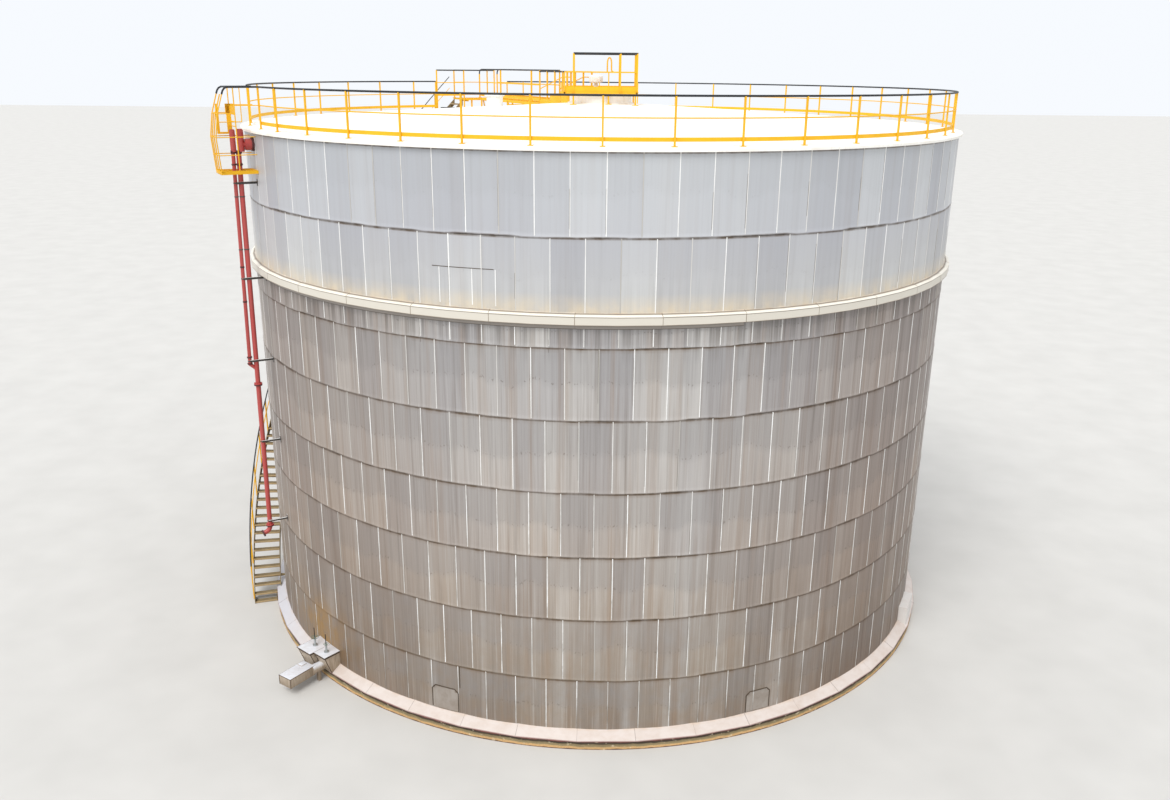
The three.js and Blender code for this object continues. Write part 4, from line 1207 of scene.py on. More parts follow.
@dataclass
class RailSet:
    """The yellow and black parts of one sub-assembly's rails."""

    paints: Paints
    post: float = 0.04
    top_radius: float = 0.0235
    mid_radius: float = 0.017
    toe_thickness: float = 0.008

    def __post_init__(self) -> None:
        """Starts the two pieces."""
        self.yellow = Metalwork()
        self.black = Metalwork()

    def post_at(self, foot: Vector, top: float) -> None:
        """Adds an upright with a foot plate, turned to face out unless it is near the middle.

        Args:
            foot: Its place and the height of its foot.
            top: Height of its top.
        """
        half, distance = self.post / 2, foot.xy.length
        if distance > 3.0:
            turn = azimuth_of(foot)
            self.yellow.wall_box(turn, self.post, distance - half, distance + half, foot.z, top)
            self.yellow.wall_box(turn, 0.12, distance - 0.05, distance + 0.05, foot.z,
                                 foot.z + 0.012)
        else:
            for reach, high in ((half, top), (0.055, foot.z + 0.010)):
                self.yellow.box((foot.x - reach, foot.y - reach, foot.z),
                                (foot.x + reach, foot.y + reach, high))

    def straight(self, start: Vector, end: Vector, top: float, mid: float,
                 toe: tuple[float, float]) -> None:
        """Adds the rails of one straight bay, at heights above its ends.

        Args:
            start: Foot of its first post.
            end: Foot of its second post.
            top: Height of the top rail above them.
            mid: Height of the mid rail above them.
            toe: Foot and top of the toe plate above them.
        """
        self.black.bar(start + UP * top, end + UP * top, self.top_radius)
        self.yellow.bar(start + UP * mid, end + UP * mid, self.mid_radius, 6)
        middle = UP * ((toe[0] + toe[1]) / 2)
        self.yellow.flat_bar(start + middle, end + middle, self.toe_thickness, toe[1] - toe[0])

    def bent(self, distance: float, foot: float, places: tuple[float, float], steps: int,
             toe: tuple[float, float]) -> None:
        """Adds the rails of a stretch that is bent round the tank.

        Args:
            distance: Of the rails from the axis.
            foot: The height that theirs are measured from.
            places: Azimuths of the stretch's ends.
            steps: How many straight lengths it has.
            toe: How far the toe plate's two sides stand out from the rails.
        """
        self.black.round_bar(distance, foot + TOP_RAIL, *places, self.top_radius, steps)
        self.yellow.round_bar(distance, foot + MID_RAIL, *places, self.mid_radius, steps,
                              sides=6)
        self.yellow.stretch(strip(distance + toe[0], distance + toe[1], foot + TOE[0],
                                  foot + TOE[1]), *places, steps)

    def finish(self, name: str, replaces: tuple[str, ...]) -> None:
        """Finishes the two pieces, called after name, with the solids they replace."""
        self.yellow.finish(f"{name}_rails", self.paints.yellow, Slot.YELLOW, replaces)
        self.black.finish(f"{name}_top_rails", self.paints.black, Slot.YELLOW)


@dataclass
class Guardrail(Painted):
    """Guardrail round the rim of the roof."""

    radius: float = 10.34
    posts: int = 42
    first: float = 0.3
    toe: tuple[float, float] = (-0.036, -0.024)
    runs: tuple[tuple[tuple[float, ...], int, int, float], ...] = (
        ((-58.34,), -6, 30, 201.1), ((-68.65, -69.05), -9, -8, -142.2))

    def build(self) -> None:
        """Builds both runs."""
        rails = RailSet(self.paints)
        pitch = 360.0 / self.posts
        base = roof_height(self.radius)
        for opening, start, count, end in self.runs:
            way = 1 if count > 0 else -1
            places = [self.first + pitch * (start + way * k) for k in range(abs(count))]
            places = [*opening, *places, end]
            for azimuth in places:
                rails.post_at(spot(azimuth, self.radius, base - 0.002), base + TOP_RAIL)
            low, high = min(places), max(places)
            rails.bent(self.radius, base, (low, high), round((high - low) / 1.5), self.toe)
        rails.finish("roof_guard", tuple(f"roof_guardrail_{n}" for n in range(1, 8)))


@dataclass
class Stair(Painted):
    """Stair that climbs round the left and the back of the shell, in three flights."""

    start: float = -72.3
    inside: float = 10.66
    outside: float = 11.5
    walking_line: float = 11.22
    treads: int = 72
    landing: float = 15.29
    going: float = 0.196
    stringer: float = 0.02
    stringer_height: float = 0.23
    rail: float = 1.0
    mid_rail: float = 0.575
    post_spacing: int = 4
    arm_spacing: int = 6
    girder: tuple[float, float] = (11.04, 11.48)
    finish: PaintFinish = PaintFinish(
        "tan_treads", (138, 122, 90), (98, 80, 60), (84, 52, 36), 0.6, 0.6, 0.75)
    nosing_finish: PaintFinish = PaintFinish(
        "pale_nosings", (176, 152, 112), (128, 104, 78), (104, 66, 46), 0.5, 0.5, 0.7)

    def __post_init__(self) -> None:
        """Works out one step's height and turn."""
        self.rise = self.landing / (self.treads + 1)
        self.turn = -degrees(self.rise / self.walking_line)

    def build(self) -> None:
        """Builds the flights and their handrails."""
        tan = self.finish.material()
        per_flight = self.treads // 3
        nosings = Metalwork()
        for flight in range(3):
            self._flight(flight, per_flight, tan, nosings)
        nosings.finish("tread_nosings", self.nosing_finish.material(), Slot.TREAD)
        self._handrail()

    def _flight(self, flight: int, count: int, tan: Paint, nosings: Metalwork) -> None:
        """Builds one flight's stringers, treads and wall arms.

        Args:
            flight: 0, 1 or 2 from the ground.
            count: Treads in a flight.
            tan: The treads' paint.
            nosings: The piece that takes the treads' front edges.
        """
        work = Metalwork()
        first = flight * count
        start = self.start + self.turn * first
        base = self.rise * first
        half = self.stringer_height / 2
        skip = (half - 0.06) / self.rise * 1.05 if flight == 0 else 0.0
        for near in (self.inside, self.outside - self.stringer):
            low = base + self.rise * skip - half + 0.06
            work.stretch(strip(near, near + self.stringer, low, low + 2 * half),
                         start + self.turn * skip, start + self.turn * count, count,
                         self.rise * (count - skip))
        for k in range(count):
            self._tread(work, nosings, start + self.turn * (k + 0.5), base + self.rise * (k + 1))
        if flight == 0:
            self._tread(work, nosings, start - self.turn * 0.5, 0.05)
            for near in (self.inside + 0.14, self.outside - self.stringer):
                work.stretch(strip(near, near + self.stringer, 0.0, 0.17), start - self.turn,
                             start + self.turn, 2)
        for k in range(2, count, self.arm_spacing):
            top = base + self.rise * (k + 1) - 0.038
            if not self.girder[0] < top < self.girder[1]:
                azimuth = start + self.turn * (k + 0.5)
                work.wall_box(azimuth, 0.06, WALL - 0.03, self.outside - 0.02, top - 0.06, top)
                work.wall_box(azimuth, 0.16, WALL - 0.01, WALL + 0.015, top - 0.14, top + 0.06)
        work.finish(f"stair_steps_{flight + 1}", tan, Slot.TREAD,
                    (f"stair_flight_{flight + 1}",))

    def _tread(self, work: Metalwork, nosings: Metalwork, azimuth: float, top: float) -> None:
        """Adds one tread: a plate with raised strips, its folded edges, end plates and nosing.

        Args:
            work: The flight.
            nosings: The piece that takes the front edge.
            azimuth: Of the tread's middle.
            top: Height of its top.
        """
        near, far = self.inside + 0.019, self.outside - 0.019
        half = self.going / 2
        work.box((-half, -far, top - 0.010), (half - 0.036, -near, top - 0.004), azimuth)
        work.box((-half, -far, top - 0.045), (-half + 0.006, -near, top - 0.004), azimuth)
        for k in range(4):
            x = -half + 0.016 + k * 0.034
            work.box((x, -far, top - 0.006), (x + 0.010, -near, top - 0.001), azimuth)
        for y in (near, far - 0.006):
            work.box((-half, -y - 0.006, top - 0.045), (half - 0.004, -y, top - 0.004), azimuth)
        nosings.box((half - 0.036, -far, top - 0.045), (half, -near, top - 0.001), azimuth, 0.004)

    def _handrail(self) -> None:
        """Builds the handrail on the outer side of the whole stair."""
        rails = RailSet(self.paints)
        distance = self.outside + 0.0185
        start = self.start - degrees(0.022 / distance)
        for k in range(0, self.treads, self.post_spacing):
            top = self.rise * (k + 1)
            azimuth = start + self.turn * k
            rails.yellow.wall_box(azimuth, 0.036, distance - 0.018, distance + 0.018,
                                  top - 0.15, top + self.rail)
            rails.yellow.wall_box(azimuth, 0.07, distance - 0.018, distance - 0.012,
                                  top - 0.13, top - 0.03)
        count = self.treads - 1
        for piece, height, radius, sides in ((rails.black, self.rail, 0.022, 8),
                                             (rails.yellow, self.mid_rail, 0.017, 6)):
            piece.round_bar(distance, self.rise + height, start, start + self.turn * count,
                            radius, count * 2, self.rise * count, sides)
        rails.finish("stair", tuple(f"stair_handrail_{n}" for n in (1, 2, 3)))


@dataclass
class Grating:
    """Bearing bars and cross rods of a walked surface, inside its edge."""

    bar: float = 0.006
    depth: float = 0.03
    spacing: float = 0.06
    cross: float = 0.25

    def fill(self, work: Metalwork, low: tuple[float, float], high: tuple[float, float],
             top: float, azimuth: float) -> None:
        """Fills a level rectangle.

        Args:
            work: The piece that takes it.
            low: Least x and y before the turn.
            high: Greatest x and y before the turn.
            top: Height of its top.
            azimuth: Degrees turned about the tank's axis.
        """
        count = max(2, round((high[0] - low[0]) / self.spacing))
        for k in range(1, count):
            x = low[0] + (high[0] - low[0]) * k / count
            work.box((x - self.bar / 2, low[1], top - self.depth), (x + self.bar / 2, high[1],
                     top), azimuth)
        rows = max(2, round((high[1] - low[1]) / self.cross))
        for k in range(1, rows):
            y = low[1] + (high[1] - low[1]) * k / rows
            work.box((low[0], y - 0.005, top - 0.012), (high[0], y + 0.005, top - 0.001),
                     azimuth)


@dataclass
class Walkway(Painted):
    """Level walkway over the roof from the landing to the platform, with steps at its end."""

    azimuth: float = -154.2
    width: float = 0.78
    outer: float = 10.15
    inner: float = 3.9
    floor: float = 15.33
    platform: float = 15.79
    step_end: float = 1.342
    steps: int = 3
    rail: float = TOP_RAIL
    posts: tuple[tuple[float, ...], tuple[float, ...]] = (
        (3.985, 6.56, 9.75, 10.125), (3.985, 4.73, 7.76, 10.125))
    mid_rail: float = 0.575
    toe: tuple[float, float] = (0.06, 0.15)
    leg_spacing: float = 1.45
    step_bars: int = 4
    step_rail: float = 0.88
    step_mid_rail: float = 0.45
    bend: tuple[float, float] = (0.26, 0.17)

    def build(self) -> None:
        """Builds the floor, its legs and steps, and the rails on both sides."""
        work = Metalwork()
        half = self.width / 2
        top = self.floor
        for x in (-half, half - 0.045):
            work.box((x, -self.outer, top - 0.09), (x + 0.045, -self.inner, top), self.azimuth)
        for y in (-self.outer, -self.inner - 0.02):
            work.box((-half, y, top - 0.05), (half, y + 0.02, top - 0.002), self.azimuth)
        Grating().fill(work, (-half + 0.02, -self.outer), (half - 0.02, -self.inner),
                       top - 0.004, self.azimuth)
        distance = self.inner + 0.2
        while distance < self.outer:
            for x in (-half, half - 0.05):
                foot = roof_height(distance) - 0.02
                work.box((x, -distance - 0.05, foot), (x + 0.05, -distance, top - 0.04),
                         self.azimuth)
                work.box((x - 0.03, -distance - 0.09, roof_height(distance + 0.09)),
                         (x + 0.08, -distance + 0.04, roof_height(distance) + 0.012),
                         self.azimuth)
            distance += self.leg_spacing
        run = (self.inner - self.step_end) / self.steps
        climb = (self.platform - top) / (self.steps + 0.4)
        for k in range(1, self.steps + 1):
            height = top + climb * k
            far = self.inner - run * (k - 1)
            near = far - run
            for x in (-half, half - 0.02):
                work.box((x, -far - 0.02, roof_height(far) - 0.03),
                         (x + 0.02, -near + 0.01, height), self.azimuth)
            for y in (-far, -near - 0.03):
                work.box((-half, y, height - 0.045), (half, y + 0.03, height - 0.001),
                         self.azimuth)
            Grating().fill(work, (-half + 0.02, -far), (half - 0.02, -near), height - 0.003,
                           self.azimuth)
        work.finish("walkway_floor", self.paints.yellow, Slot.YELLOW, ("roof_walkway",))
        self._rails(run, climb)

    def _rails(self, run: float, climb: float) -> None:
        """Builds the rails on both sides.

        Args:
            run: Length of one step.
            climb: Height of one step.
        """
        rails = RailSet(self.paints)
        turn = turned(self.azimuth, 3)
        edge = self.width / 2 - 0.025
        for x, posts in zip((-edge, edge), self.posts):
            feet = [turn @ Vector((x, -away, self.floor)) for away in posts]
            for foot in feet[:-1]:
                rails.post_at(foot, self.floor + self.rail)
            back, drop = self.bend
            outer = posts[-1]
            rails.post_at(feet[-1], self.floor + self.rail - drop)
            bent = Vector((x, back - outer, self.floor))
            for start, end in zip(feet, [*feet[1:-1], turn @ bent]):
                rails.straight(start, end, self.rail, self.mid_rail, self.toe)
            level = self.floor + self.rail
            corners = [(outer - back, 0.0), (outer - back * 0.45, 0.02),
                       (outer - back * 0.1, drop * 0.45), (outer, drop)]
            joints = [turn @ Vector((x, -away, level - down)) for away, down in corners]
            for start, end in zip(joints, joints[1:]):
                rails.black.bar(start, end, rails.top_radius)
            for low, radius in ((self.mid_rail, rails.mid_radius), (0.10, 0.03)):
                rise = UP * low
                rails.yellow.bar(turn @ bent + rise, feet[-1] + rise, radius, 6)
            slope = []
            for k in range(1, self.step_bars + 1):
                along = (k - 0.12) / self.step_bars
                away = self.inner - run * self.steps * along
                height = self.floor + climb * min(self.steps, int(along * self.steps) + 1)
                foot = turn @ Vector((x, -away, height))
                slope.append(foot)
                rails.yellow.box((x - 0.022, -away - 0.022, height), (x + 0.022, -away + 0.022,
                                 self.floor + climb + self.step_rail + 0.02), self.azimuth)
            for start, end in zip([feet[0], *slope], slope):
                level = self.floor + climb + self.step_rail
                first = Vector((start.x, start.y, level))
                last = Vector((end.x, end.y, level))
                rails.black.bar(first, last, rails.top_radius)
                rails.yellow.bar(start + UP * self.step_mid_rail, end + UP * self.step_mid_rail,
                                 rails.mid_radius, 6)
        rails.finish("walkway", ("walkway_rail_left", "walkway_rail_right"))


@dataclass
class Platform(Painted):
    """Square platform on a low drum in the middle of the roof, with a vent."""

    side: float = 2.2
    floor: float = 15.79
    thickness: float = 0.05
    drum: float = 0.95
    rail: float = 1.09
    mid_rail: float = 0.56
    toe: float = 0.15
    spare_post: float = 0.233
    hoop: tuple[tuple[float, float], ...] = (
        (0.20, 0.56), (0.20, 0.86), (0.222, 0.96), (0.265, 1.0), (0.308, 0.96), (0.33, 0.86),
        (0.33, 0.64), (0.35, 0.58), (0.40, 0.56))
    vent: tuple[float, float] = (-0.15, -0.45)

    def build(self) -> None:
        """Builds the floor, rails, drum and vent."""
        half, top = self.side / 2, self.floor
        deck = Metalwork()
        for x in (-half, half - 0.05):
            deck.box((x, -half, top - self.thickness), (x + 0.05, half, top - 0.001))
            deck.box((-half, x, top - self.thickness), (half, x + 0.05, top - 0.001))
        Grating().fill(deck, (-half + 0.04, -half + 0.04), (half - 0.04, half - 0.04),
                       top - 0.003, 0.0)
        deck.finish("platform_floor", self.paints.yellow, Slot.YELLOW, ("centre_platform",))
        drum = Metalwork()
        foot = roof_height(self.drum) - 0.02
        drum.disc([(0.0, foot), (self.drum + 0.06, foot), (self.drum + 0.06, foot + 0.045),
                   (self.drum, foot + 0.06), (self.drum, top - self.thickness - 0.03),
                   (self.drum + 0.03, top - self.thickness - 0.025),
                   (self.drum + 0.03, top - self.thickness - 0.001),
                   (0.0, top - self.thickness - 0.001)], 72)
        drum.finish("roof_drum", self.paints.white, Slot.WHITE, ("platform_drum",))
        self._rails()
        self._vent()

    def _rails(self) -> None:
        """Builds the rails on four sides, open where the steps arrive, and the legs."""
        rails = RailSet(self.paints)
        edge, base = self.side / 2 - 0.025, self.floor
        feet = [(-0.84, edge), (0.58, edge), (edge, edge), (edge, 0.0), (edge, -edge),
                (0.58, -edge), (-0.81, -edge)]
        points = [Vector((x, y, base)) for x, y in feet]
        for point in points:
            rails.post_at(point, base + self.rail)
        for start, end in zip(points, points[1:]):
            rails.straight(start, end, self.rail, self.mid_rail, (0.0, self.toe))
        level = UP * self.mid_rail
        for point, y in ((points[0], edge), (points[-1], -edge)):
            corner = Vector((-edge, y, base))
            rails.post_at(corner, base + self.mid_rail)
            rails.yellow.bar(corner + level, point + level, rails.mid_radius, 6)
            rails.yellow.box((-edge, y - 0.004, base), (point.x, y + 0.004, base + self.toe))
        foot = Vector((self.spare_post, -edge, base))
        rails.yellow.bar(foot, foot + level, rails.mid_radius, 8)
        places = [Vector((x, edge, base + up)) for x, up in self.hoop]
        for start, end in zip(places, places[1:]):
            rails.yellow.bar(start, end, 0.022, 8)
        rails.finish("platform", ("platform_guardrail",))
        legs = Metalwork()
        for x in (-0.81, self.spare_post, edge - 0.04):
            for y in (-edge + 0.06, edge - 0.06):
                away = hypot(x, y)
                legs.box((x - 0.025, y - 0.025, roof_height(away) - 0.02),
                         (x + 0.025, y + 0.025, base - self.thickness + 0.01))
                legs.box((x - 0.09, y - 0.06, roof_height(away) - 0.01),
                         (x + 0.09, y + 0.06, roof_height(away) + 0.018))
        legs.finish("platform_legs", self.paints.yellow, Slot.YELLOW)

    def _vent(self) -> None:
        """Builds the round vent on its stem."""
        vent = Metalwork()
        base = self.floor
        vent.disc([(0.0, base), (0.1, base), (0.1, base + 0.02), (0.06, base + 0.03),
                   (0.06, base + 0.25), (0.20, base + 0.27), (0.21, base + 0.30),
                   (0.21, base + 0.44), (0.16, base + 0.48), (0.0, base + 0.48)], 32)
        vent.place(Matrix.Translation((*self.vent, 0.0)))
        vent.finish("roof_vent", self.paints.white, Slot.WHITE, ("gauge_vent",))


@dataclass(frozen=True)
class Riser:
    """Sizes of one foam riser and of the body at its head."""

    distance: float
    head_distance: float
    radius: float
    foot: float
    body_distance: float
    body: float
    body_top: float
    head_flange: float


@dataclass
class FoamLine:
    """Two red foam risers, the chamber and head at their top, and their brackets."""

    azimuth: float = RISERS
    wall: float = WALL
    large: Riser = Riser(11.000, 10.900, 0.066, 3.64, 10.828, 0.090, 14.88, 0.084)
    small: Riser = Riser(11.126, 11.040, 0.050, 8.56, 11.021, 0.072, 14.87, 0.064)
    bend: tuple[tuple[float, float], ...] = (
        (0.0, 0.02), (0.004, -0.045), (0.022, -0.10), (0.055, -0.145), (0.10, -0.18),
        (0.215, -0.226))
    heads: tuple[float, float] = (13.98, 14.30)
    joint: float = 7.957
    small_joints: tuple[float, float] = (8.58, 8.76)
    nozzle: float = 14.485
    brackets: tuple[float, ...] = (3.8, 6.27, 8.657, 10.965, 13.505)
    plate: float = 0.095
    under_girder: float = 11.02
    clamps: tuple[float, ...] = (11.755, 13.15)
    couplings: tuple[float, ...] = (10.33, 11.28)
    finish: PaintFinish = PaintFinish(
        "red_pipes", (178, 70, 66), (154, 92, 86), (96, 48, 40), 0.4, 0.3, 0.34)
    dark_finish: PaintFinish = PaintFinish(
        "dark_flanges", (84, 40, 40), (60, 44, 42), (120, 70, 44), 0.5, 0.4, 0.55)
    # Pale tops and dark sides: painted light and shade on the brackets.
    arm_finish: BoxFinish = BoxFinish(
        "galvanised_brackets", (236, 236, 234), (82, 78, 74), (60, 52, 46))

    def at(self, riser: Riser, height: float) -> Vector:
        """Gives the point on a riser's middle line at a height."""
        return spot(self.azimuth, self._distance(riser, height), height)

    def _distance(self, riser: Riser, height: float) -> float:
        """Gives how far a leaning riser is from the tank's axis at a height."""
        share = (height - riser.foot) / (self.heads[1] - riser.foot)
        return riser.distance + (riser.head_distance - riser.distance) * share

    def build(self) -> None:
        """Builds the risers, the chamber, the head, the dark flanges and the brackets."""
        red = self.finish.material()
        dark = Metalwork()
        self._large(red, dark)
        self._small(red, dark)
        self._chamber(red, dark)
        dark.finish("foam_flanges", self.dark_finish.material(), Slot.RED)
        self._brackets()

    def _large(self, red: Paint, dark: Metalwork) -> None:
        """Builds the thick riser down to the flange of its turned-out foot.

        Args:
            red: The red paint.
            dark: The piece that takes the dark flanges.
        """
        large, foot = self.large, self.large.foot
        work = Metalwork()
        points = [self.at(large, self.heads[1] - 0.002)]
        points += [spot(self.azimuth, large.distance + out, foot + down) for out, down in self.bend]
        work.pipe(points, large.radius, 20)
        work.flange(self.at(large, foot + 0.03), UP, 0.11, 0.028)
        work.flange(self.at(large, self.joint + 0.022), UP, 0.112, 0.03)
        work.finish("thick_foam_riser", red, Slot.RED, ("foam_riser_large",))
        dark.flange(self.at(large, self.joint - 0.018), UP, 0.112, 0.03, 0)
        dark.flange(self.at(large, foot - 0.004), UP, 0.11, 0.026, 0)
        way = points[-1] - points[-2]
        dark.flange(points[-1] - way.normalized() * 0.012, way, 0.105, 0.034)
        for height in (self.heads[0], self.heads[1] - 0.022):
            dark.flange(self.at(large, height), UP, large.head_flange, 0.034)

    def _small(self, red: Paint, dark: Metalwork) -> None:
        """Builds the thin riser and the short slanting pipe into the thick one.

        Args:
            red: The red paint.
            dark: The piece that takes the dark flanges.
        """
        small = self.small
        work = Metalwork()
        work.pipe([self.at(small, self.heads[1] - 0.002), self.at(small, small.foot),
                   self.at(self.large, small.foot - 0.16)], small.radius, 16)
        work.finish("thin_foam_riser", red, Slot.RED, ("foam_riser_small",))
        for height in self.small_joints:
            dark.flange(self.at(small, height), UP, 0.07, 0.03, 4)
        for height in self.couplings:
            dark.flange(self.at(small, height), UP, 0.058, 0.045, 0)
        for height in (self.heads[0], self.heads[1] - 0.022):
            dark.flange(self.at(small, height), UP, small.head_flange, 0.03, 4)

    def _chamber(self, red: Paint, dark: Metalwork) -> None:
        """Builds the upright chamber, its drum on the shell, and the small head beside it.

        Args:
            red: The red paint.
            dark: The piece that takes the dark flanges.
        """
        foot, level = self.heads[1] + 0.002, self.nozzle
        body = Metalwork()
        for near, far, radius in ((10.562, 10.715, 0.15), (10.55, 10.732, 0.138),
                                  (10.72, self.large.body_distance, 0.07)):
            body.bar(spot(self.azimuth, near, level), spot(self.azimuth, far, level), radius, 32)
        for riser, name, node in ((self.large, "foam_chamber_body", "foam_chamber"),
                                  (self.small, "foam_head_body", "foam_vapour_head")):
            base = spot(self.azimuth, riser.body_distance, foot)
            for short, share in ((0.02, 1.0), (0.0, 0.8)):
                rise = UP * (riser.body_top - short - foot)
                body.bar(base, base + rise, riser.body * share, 24)
            body.finish(name, red, Slot.RED, (node,))
            dark.flange(self.at(riser, foot + 0.018), UP, riser.head_flange, 0.032, 6)
            body = Metalwork()
        out = spot(self.azimuth, 1.0, 0.0)
        dark.flange(spot(self.azimuth, 10.52, level), out, 0.175, 0.03, 12)
        dark.flange(spot(self.azimuth, 10.552, level), out, 0.172, 0.026, 0)

    def _brackets(self) -> None:
        """Builds the galvanised brackets and the clamps that tie the risers together."""
        work = Metalwork()
        large, small = self.large, self.small
        for height in self.brackets:
            offset = large.radius + 0.001
            both = height > small.foot
            reach = self._distance(small, height) if both else self._distance(large, height) + 0.05
            top = min(height + self.plate, self.under_girder) if both else height + self.plate
            top = height + self.plate if height > self.under_girder else top
            work.box((offset, -reach, height - 0.0325), (offset + 0.006, -self.wall + 0.02,
                     height + 0.0325), self.azimuth)
            work.box((offset, -reach, height + 0.0265), (offset + 0.05, -self.wall + 0.02,
                     height + 0.0325), self.azimuth)
            work.box((offset - 0.06, -self.wall - 0.010, height - self.plate),
                     (offset + 0.062, -self.wall + 0.02, top), self.azimuth)
            for riser in (large, small) if both else (large,):
                self._clip(work, riser, height)
        for height in self.clamps:
            self._clip(work, large, height)
            self._clip(work, small, height)
        work.finish("pipe_brackets", self.arm_finish.material(), Slot.GALVANISED,
                    tuple(f"riser_bracket_{n}" for n in range(1, 6)))

    def _clip(self, work: Metalwork, riser: Riser, height: float) -> None:
        """Adds a thin ring round a riser.

        Args:
            work: The brackets.
            riser: The riser.
            height: Of its middle.
        """
        inner, outer = riser.radius + 0.0005, riser.radius + 0.007
        work.ring(strip(inner, outer, height - 0.016, height + 0.016), 20,
                  spot(self.azimuth, self._distance(riser, height), 0.0))


@dataclass
class Balcony(Painted):
    """Foam balcony on the left of the shell, with a tall guard that hooks over to the roof."""

    span: tuple[float, float] = (-62.2, -58.3)
    inset: float = 0.05
    outside: float = 11.44
    wall: float = WALL
    floor: float = 13.835
    thickness: float = 0.085
    bars: int = 24
    rods: int = 8
    risers: float = RISERS
    opening: tuple[float, float] = (10.84, 11.16)
    lean: tuple[tuple[float, float], ...] = (
        (11.43, 13.836), (11.49, 14.69), (11.40, 15.275), (11.25, 15.75))
    hook: tuple[tuple[float, float], ...] = (
        (11.25, 15.75), (11.222, 15.83), (11.18, 15.89), (11.12, 15.922), (10.366, 15.926))
    rails: tuple[float, float] = (14.24, 14.69)
    wall_post: float = 10.97
    inward_post: float = 10.81
    rungs: tuple[float, ...] = (14.95, 15.07)
    plate: tuple[float, float] = (15.24, 15.45)
    stiles: tuple[tuple[float, float, float], ...] = (
        (10.94, 11.06, 14.74), (10.86, 11.077, 15.25), (11.25, 11.32, 14.74))
    step: float = 14.74
    mid_rail: float = 15.471
    mid_rail_end: float = 10.367
    post_top: float = 15.905
    bar: float = 0.0155
    thin: float = 0.012

    def build(self) -> None:
        """Builds the floor and the guard."""
        self._floor()
        self._guard()

    def _floor(self) -> None:
        """Builds the edge channels and the grating, open round the risers."""
        work = Metalwork()
        start, end = self.span
        foot, top = self.floor - self.thickness, self.floor
        for near, far in ((self.wall + 0.002, self.wall + 0.045),
                          (self.outside - 0.012, self.outside)):
            work.stretch(strip(near, far, foot, top - 0.001), start, end, 4)
        work.stretch(strip(self.outside - 0.05, self.outside, foot, foot + 0.008), start, end, 4)
        edge = degrees(0.006 / self.outside)
        for azimuth in (start + edge, end - edge):
            work.wall_box(azimuth, 0.010, self.wall + 0.01, self.outside - 0.005, foot,
                          top - 0.001)
        for k in range(1, self.bars):
            azimuth = start + (end - start) * k / self.bars
            if abs(azimuth - self.risers) > 0.45:
                work.wall_box(azimuth, 0.006, self.wall + 0.02, self.outside - 0.006,
                              top - 0.035, top - 0.003)
        for k in range(1, self.rods):
            away = self.wall + k * (self.outside - self.wall) / self.rods
            if not self.opening[0] < away < self.opening[1]:
                work.stretch(strip(away, away + 0.01, top - 0.02, top - 0.005), start, end, 4)
        work.finish("balcony_deck", self.paints.yellow, Slot.YELLOW, ("balcony_floor",))

    def _lean_at(self, height: float) -> float:
        """Gives how far the leaning uprights are from the axis at a height."""
        (low, foot), (high, top) = self.lean[0], self.lean[1]
        return low + (high - low) * (height - foot) / (top - foot)

    def _guard(self) -> None:
        """Builds the leaning uprights, the rails, the wall posts, the plate and the hooks."""
        rails = RailSet(self.paints)
        paint = rails.yellow
        far, near = self.span[0] + self.inset, self.span[1] - self.inset

        def run(azimuth: float, points: Section, radius: float,
                piece: Metalwork = paint) -> None:
            """Adds a bent bar in the upright plane at an azimuth."""
            piece.pipe([spot(azimuth, *point) for point in points], radius, 8)

        def across(distance: float, height: float, radius: float) -> None:
            """Adds a bar from one side of the balcony to the other."""
            paint.bar(spot(far, distance, height), spot(near, distance, height), radius, 8)

        for k in range(4):
            azimuth = far + (near - far) * k / 3
            run(azimuth, self.lean[:3] if k == 1 else self.lean, self.bar)
            paint.wall_box(azimuth, 0.07, 11.36, 11.438, self.floor - 0.001, self.floor + 0.008)
            if k in (0, 3):
                run(azimuth, self.hook, 0.0235, rails.black)
        for height in self.rails:
            across(self._lean_at(height), height, self.thin)
            for azimuth in (near, far):
                run(azimuth, [(self._lean_at(height), height), (self.wall + 0.002, height)],
                    self.thin)
        shoulder, level = self.lean[2]
        across(shoulder, level, self.thin)
        rails.black.bar(spot(far, *self.hook[3]), spot(near, *self.hook[3]), self.bar, 8)
        for azimuth in (near, far):
            run(azimuth, [(shoulder, level), (self.wall_post, level)], self.thin)
            run(azimuth, [(self.wall_post, self.floor + 0.001), (self.wall_post, self.post_top)],
                self.bar)
            run(azimuth, [(self.wall_post, self.mid_rail), (self.mid_rail_end, self.mid_rail)],
                self.thin)
        thin = self.rungs[1]
        run(near, [(11.43, thin), (self.inward_post, thin)], self.thin)
        run(near, [(self.inward_post, thin), (self.inward_post, self.post_top)], self.thin)
        for height in self.rungs:
            across(self.wall_post, height, self.thin)
        for start, end, low in self.stiles:
            paint.wall_box(far + 0.25, 0.010, start, end, low, 15.50)
        paint.wall_box(far + 0.25, 0.05, self.stiles[0][0], self.stiles[2][1], self.step,
                       self.step + 0.05)
        foot, top = self.plate
        low = self.wall_post - 0.006
        paint.stretch(strip(low, low + 0.008, foot, top), far, near, 2)
        rails.finish("balcony", ("balcony_guard",))


